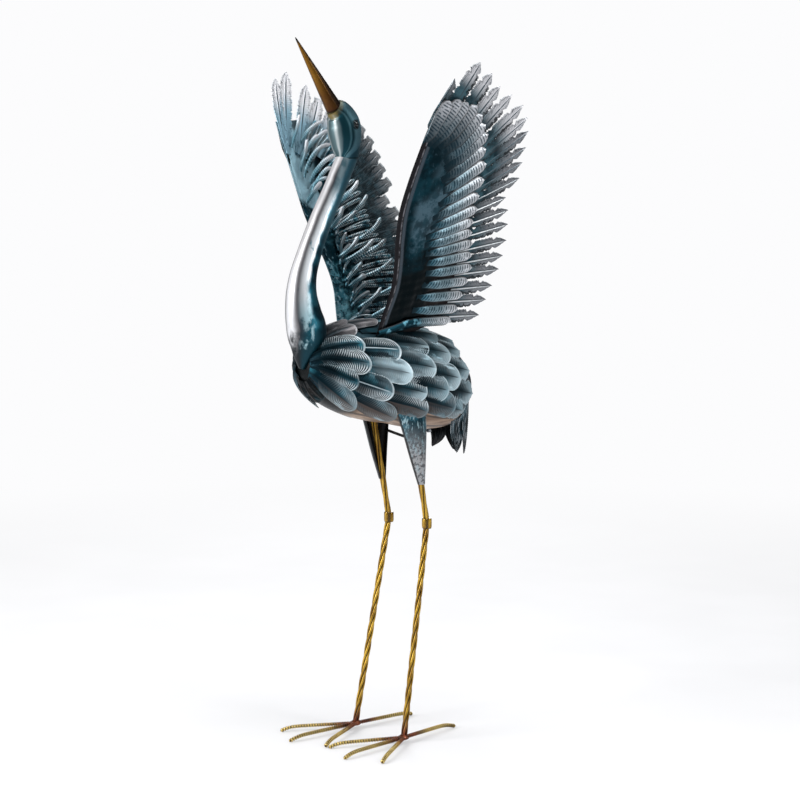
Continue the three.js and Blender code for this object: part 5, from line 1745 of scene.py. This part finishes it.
# Floor, light and camera
PAPER_WHITE = (252, 252, 253)
AIM = (0, 0, 0.65)
SOFTBOXES = {
    "key softbox": ((-0.9, -2.6, 1.7), (1.3, 2.2), 110),
    "side softbox": ((2.6, 0.8, 1.6), (0.8, 1.8), 40),
    "top softbox": ((0.3, 0.2, 2.9), (1.6, 1.6), 40),
    "rear softbox": ((-2.0, 1.8, 1.6), (0.8, 1.6), 30),
}
CAMERA_PLACE = (2243, -1993, 862)
CAMERA_DOWN = 5.71
CAMERA_HEADING = 46.99
LENS_PIXELS = 1873
FRAME_PIXELS = 800
SENSOR = 36.0


def make_floor():
    """A pale floor that pales further with distance, as a studio's paper sweep does."""
    select_only()
    bpy.ops.mesh.primitive_circle_add(vertices=96, radius=14, fill_type="NGON")
    floor = bpy.context.object
    floor.name = "floor"
    paper = Coat("pale floor", 0.0)
    grain = paper.step(paper.grain(3.0, 2.0), 0.3, 0.7)
    paper.put(paper.sockets["Base Color"], paper.mix(grain, (232, 232, 234), (238, 238, 240)))
    paper.sockets["Roughness"].default_value = 0.9
    away = paper.places_math("LENGTH", paper.where)
    seen = paper.add("ShaderNodeLightPath").outputs["Is Camera Ray"]
    glow = paper.add("ShaderNodeEmission", {"Color": PAPER_WHITE})
    share = paper.times(seen, paper.step(away, 0.3, 3.0, 0.35, 1.0))
    nodes = paper.tree.nodes
    lit = nodes["Principled BSDF"].outputs[0]
    both = paper.add("ShaderNodeMixShader", {0: share, 1: lit, 2: glow.outputs[0]})
    paper.put(nodes["Material Output"].inputs["Surface"], both.outputs[0])
    floor.data.materials.append(paper.material)
    floor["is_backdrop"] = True


def add_softbox(name, place, size, power):
    light = bpy.data.lights.new(name, "AREA")
    light.shape = "RECTANGLE"
    light.size, light.size_y = size
    light.energy = power
    holder = bpy.data.objects.new(name, light)
    bpy.context.collection.objects.link(holder)
    holder.location = place
    holder.rotation_euler = (Vector(AIM) - Vector(place)).to_track_quat("-Z", "Y").to_euler()


def make_light():
    """Four softboxes, a grey room that fills the shadows and a white backdrop behind the bird."""
    bpy.context.scene.view_settings.view_transform = "Standard"
    world = bpy.data.worlds.new("studio")
    bpy.context.scene.world = world
    world.use_nodes = True
    graph = Graph(world.node_tree)
    room = world.node_tree.nodes["Background"]
    graph.put(room.inputs["Color"], (190, 196, 202))
    graph.put(room.inputs["Strength"], 0.22)
    backdrop = graph.add("ShaderNodeBackground", {"Color": PAPER_WHITE, "Strength": 1.0})
    direct = graph.add("ShaderNodeLightPath").outputs["Is Camera Ray"]
    both = graph.add("ShaderNodeMixShader", {0: direct, 1: room.outputs[0], 2: backdrop.outputs[0]})
    graph.put(world.node_tree.nodes["World Output"].inputs["Surface"], both.outputs[0])
    for name, (place, size, power) in SOFTBOXES.items():
        add_softbox(name, place, size, power)


def make_camera():
    """The camera that was fitted to the photo's frame."""
    camera = bpy.data.cameras.new("camera")
    camera.sensor_width = SENSOR
    camera.lens = LENS_PIXELS / FRAME_PIXELS * SENSOR
    holder = bpy.data.objects.new("camera", camera)
    bpy.context.collection.objects.link(holder)
    holder.location = in_place(CAMERA_PLACE)
    holder.rotation_euler = (math.radians(90 - CAMERA_DOWN), 0, math.radians(CAMERA_HEADING))
    bpy.context.scene.camera = holder


make_floor()
make_light()
make_camera()

corners = lambda box: [list(corner) for corner in box]
{"cad": corners(CAD_BOX), "visual": corners(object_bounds())}
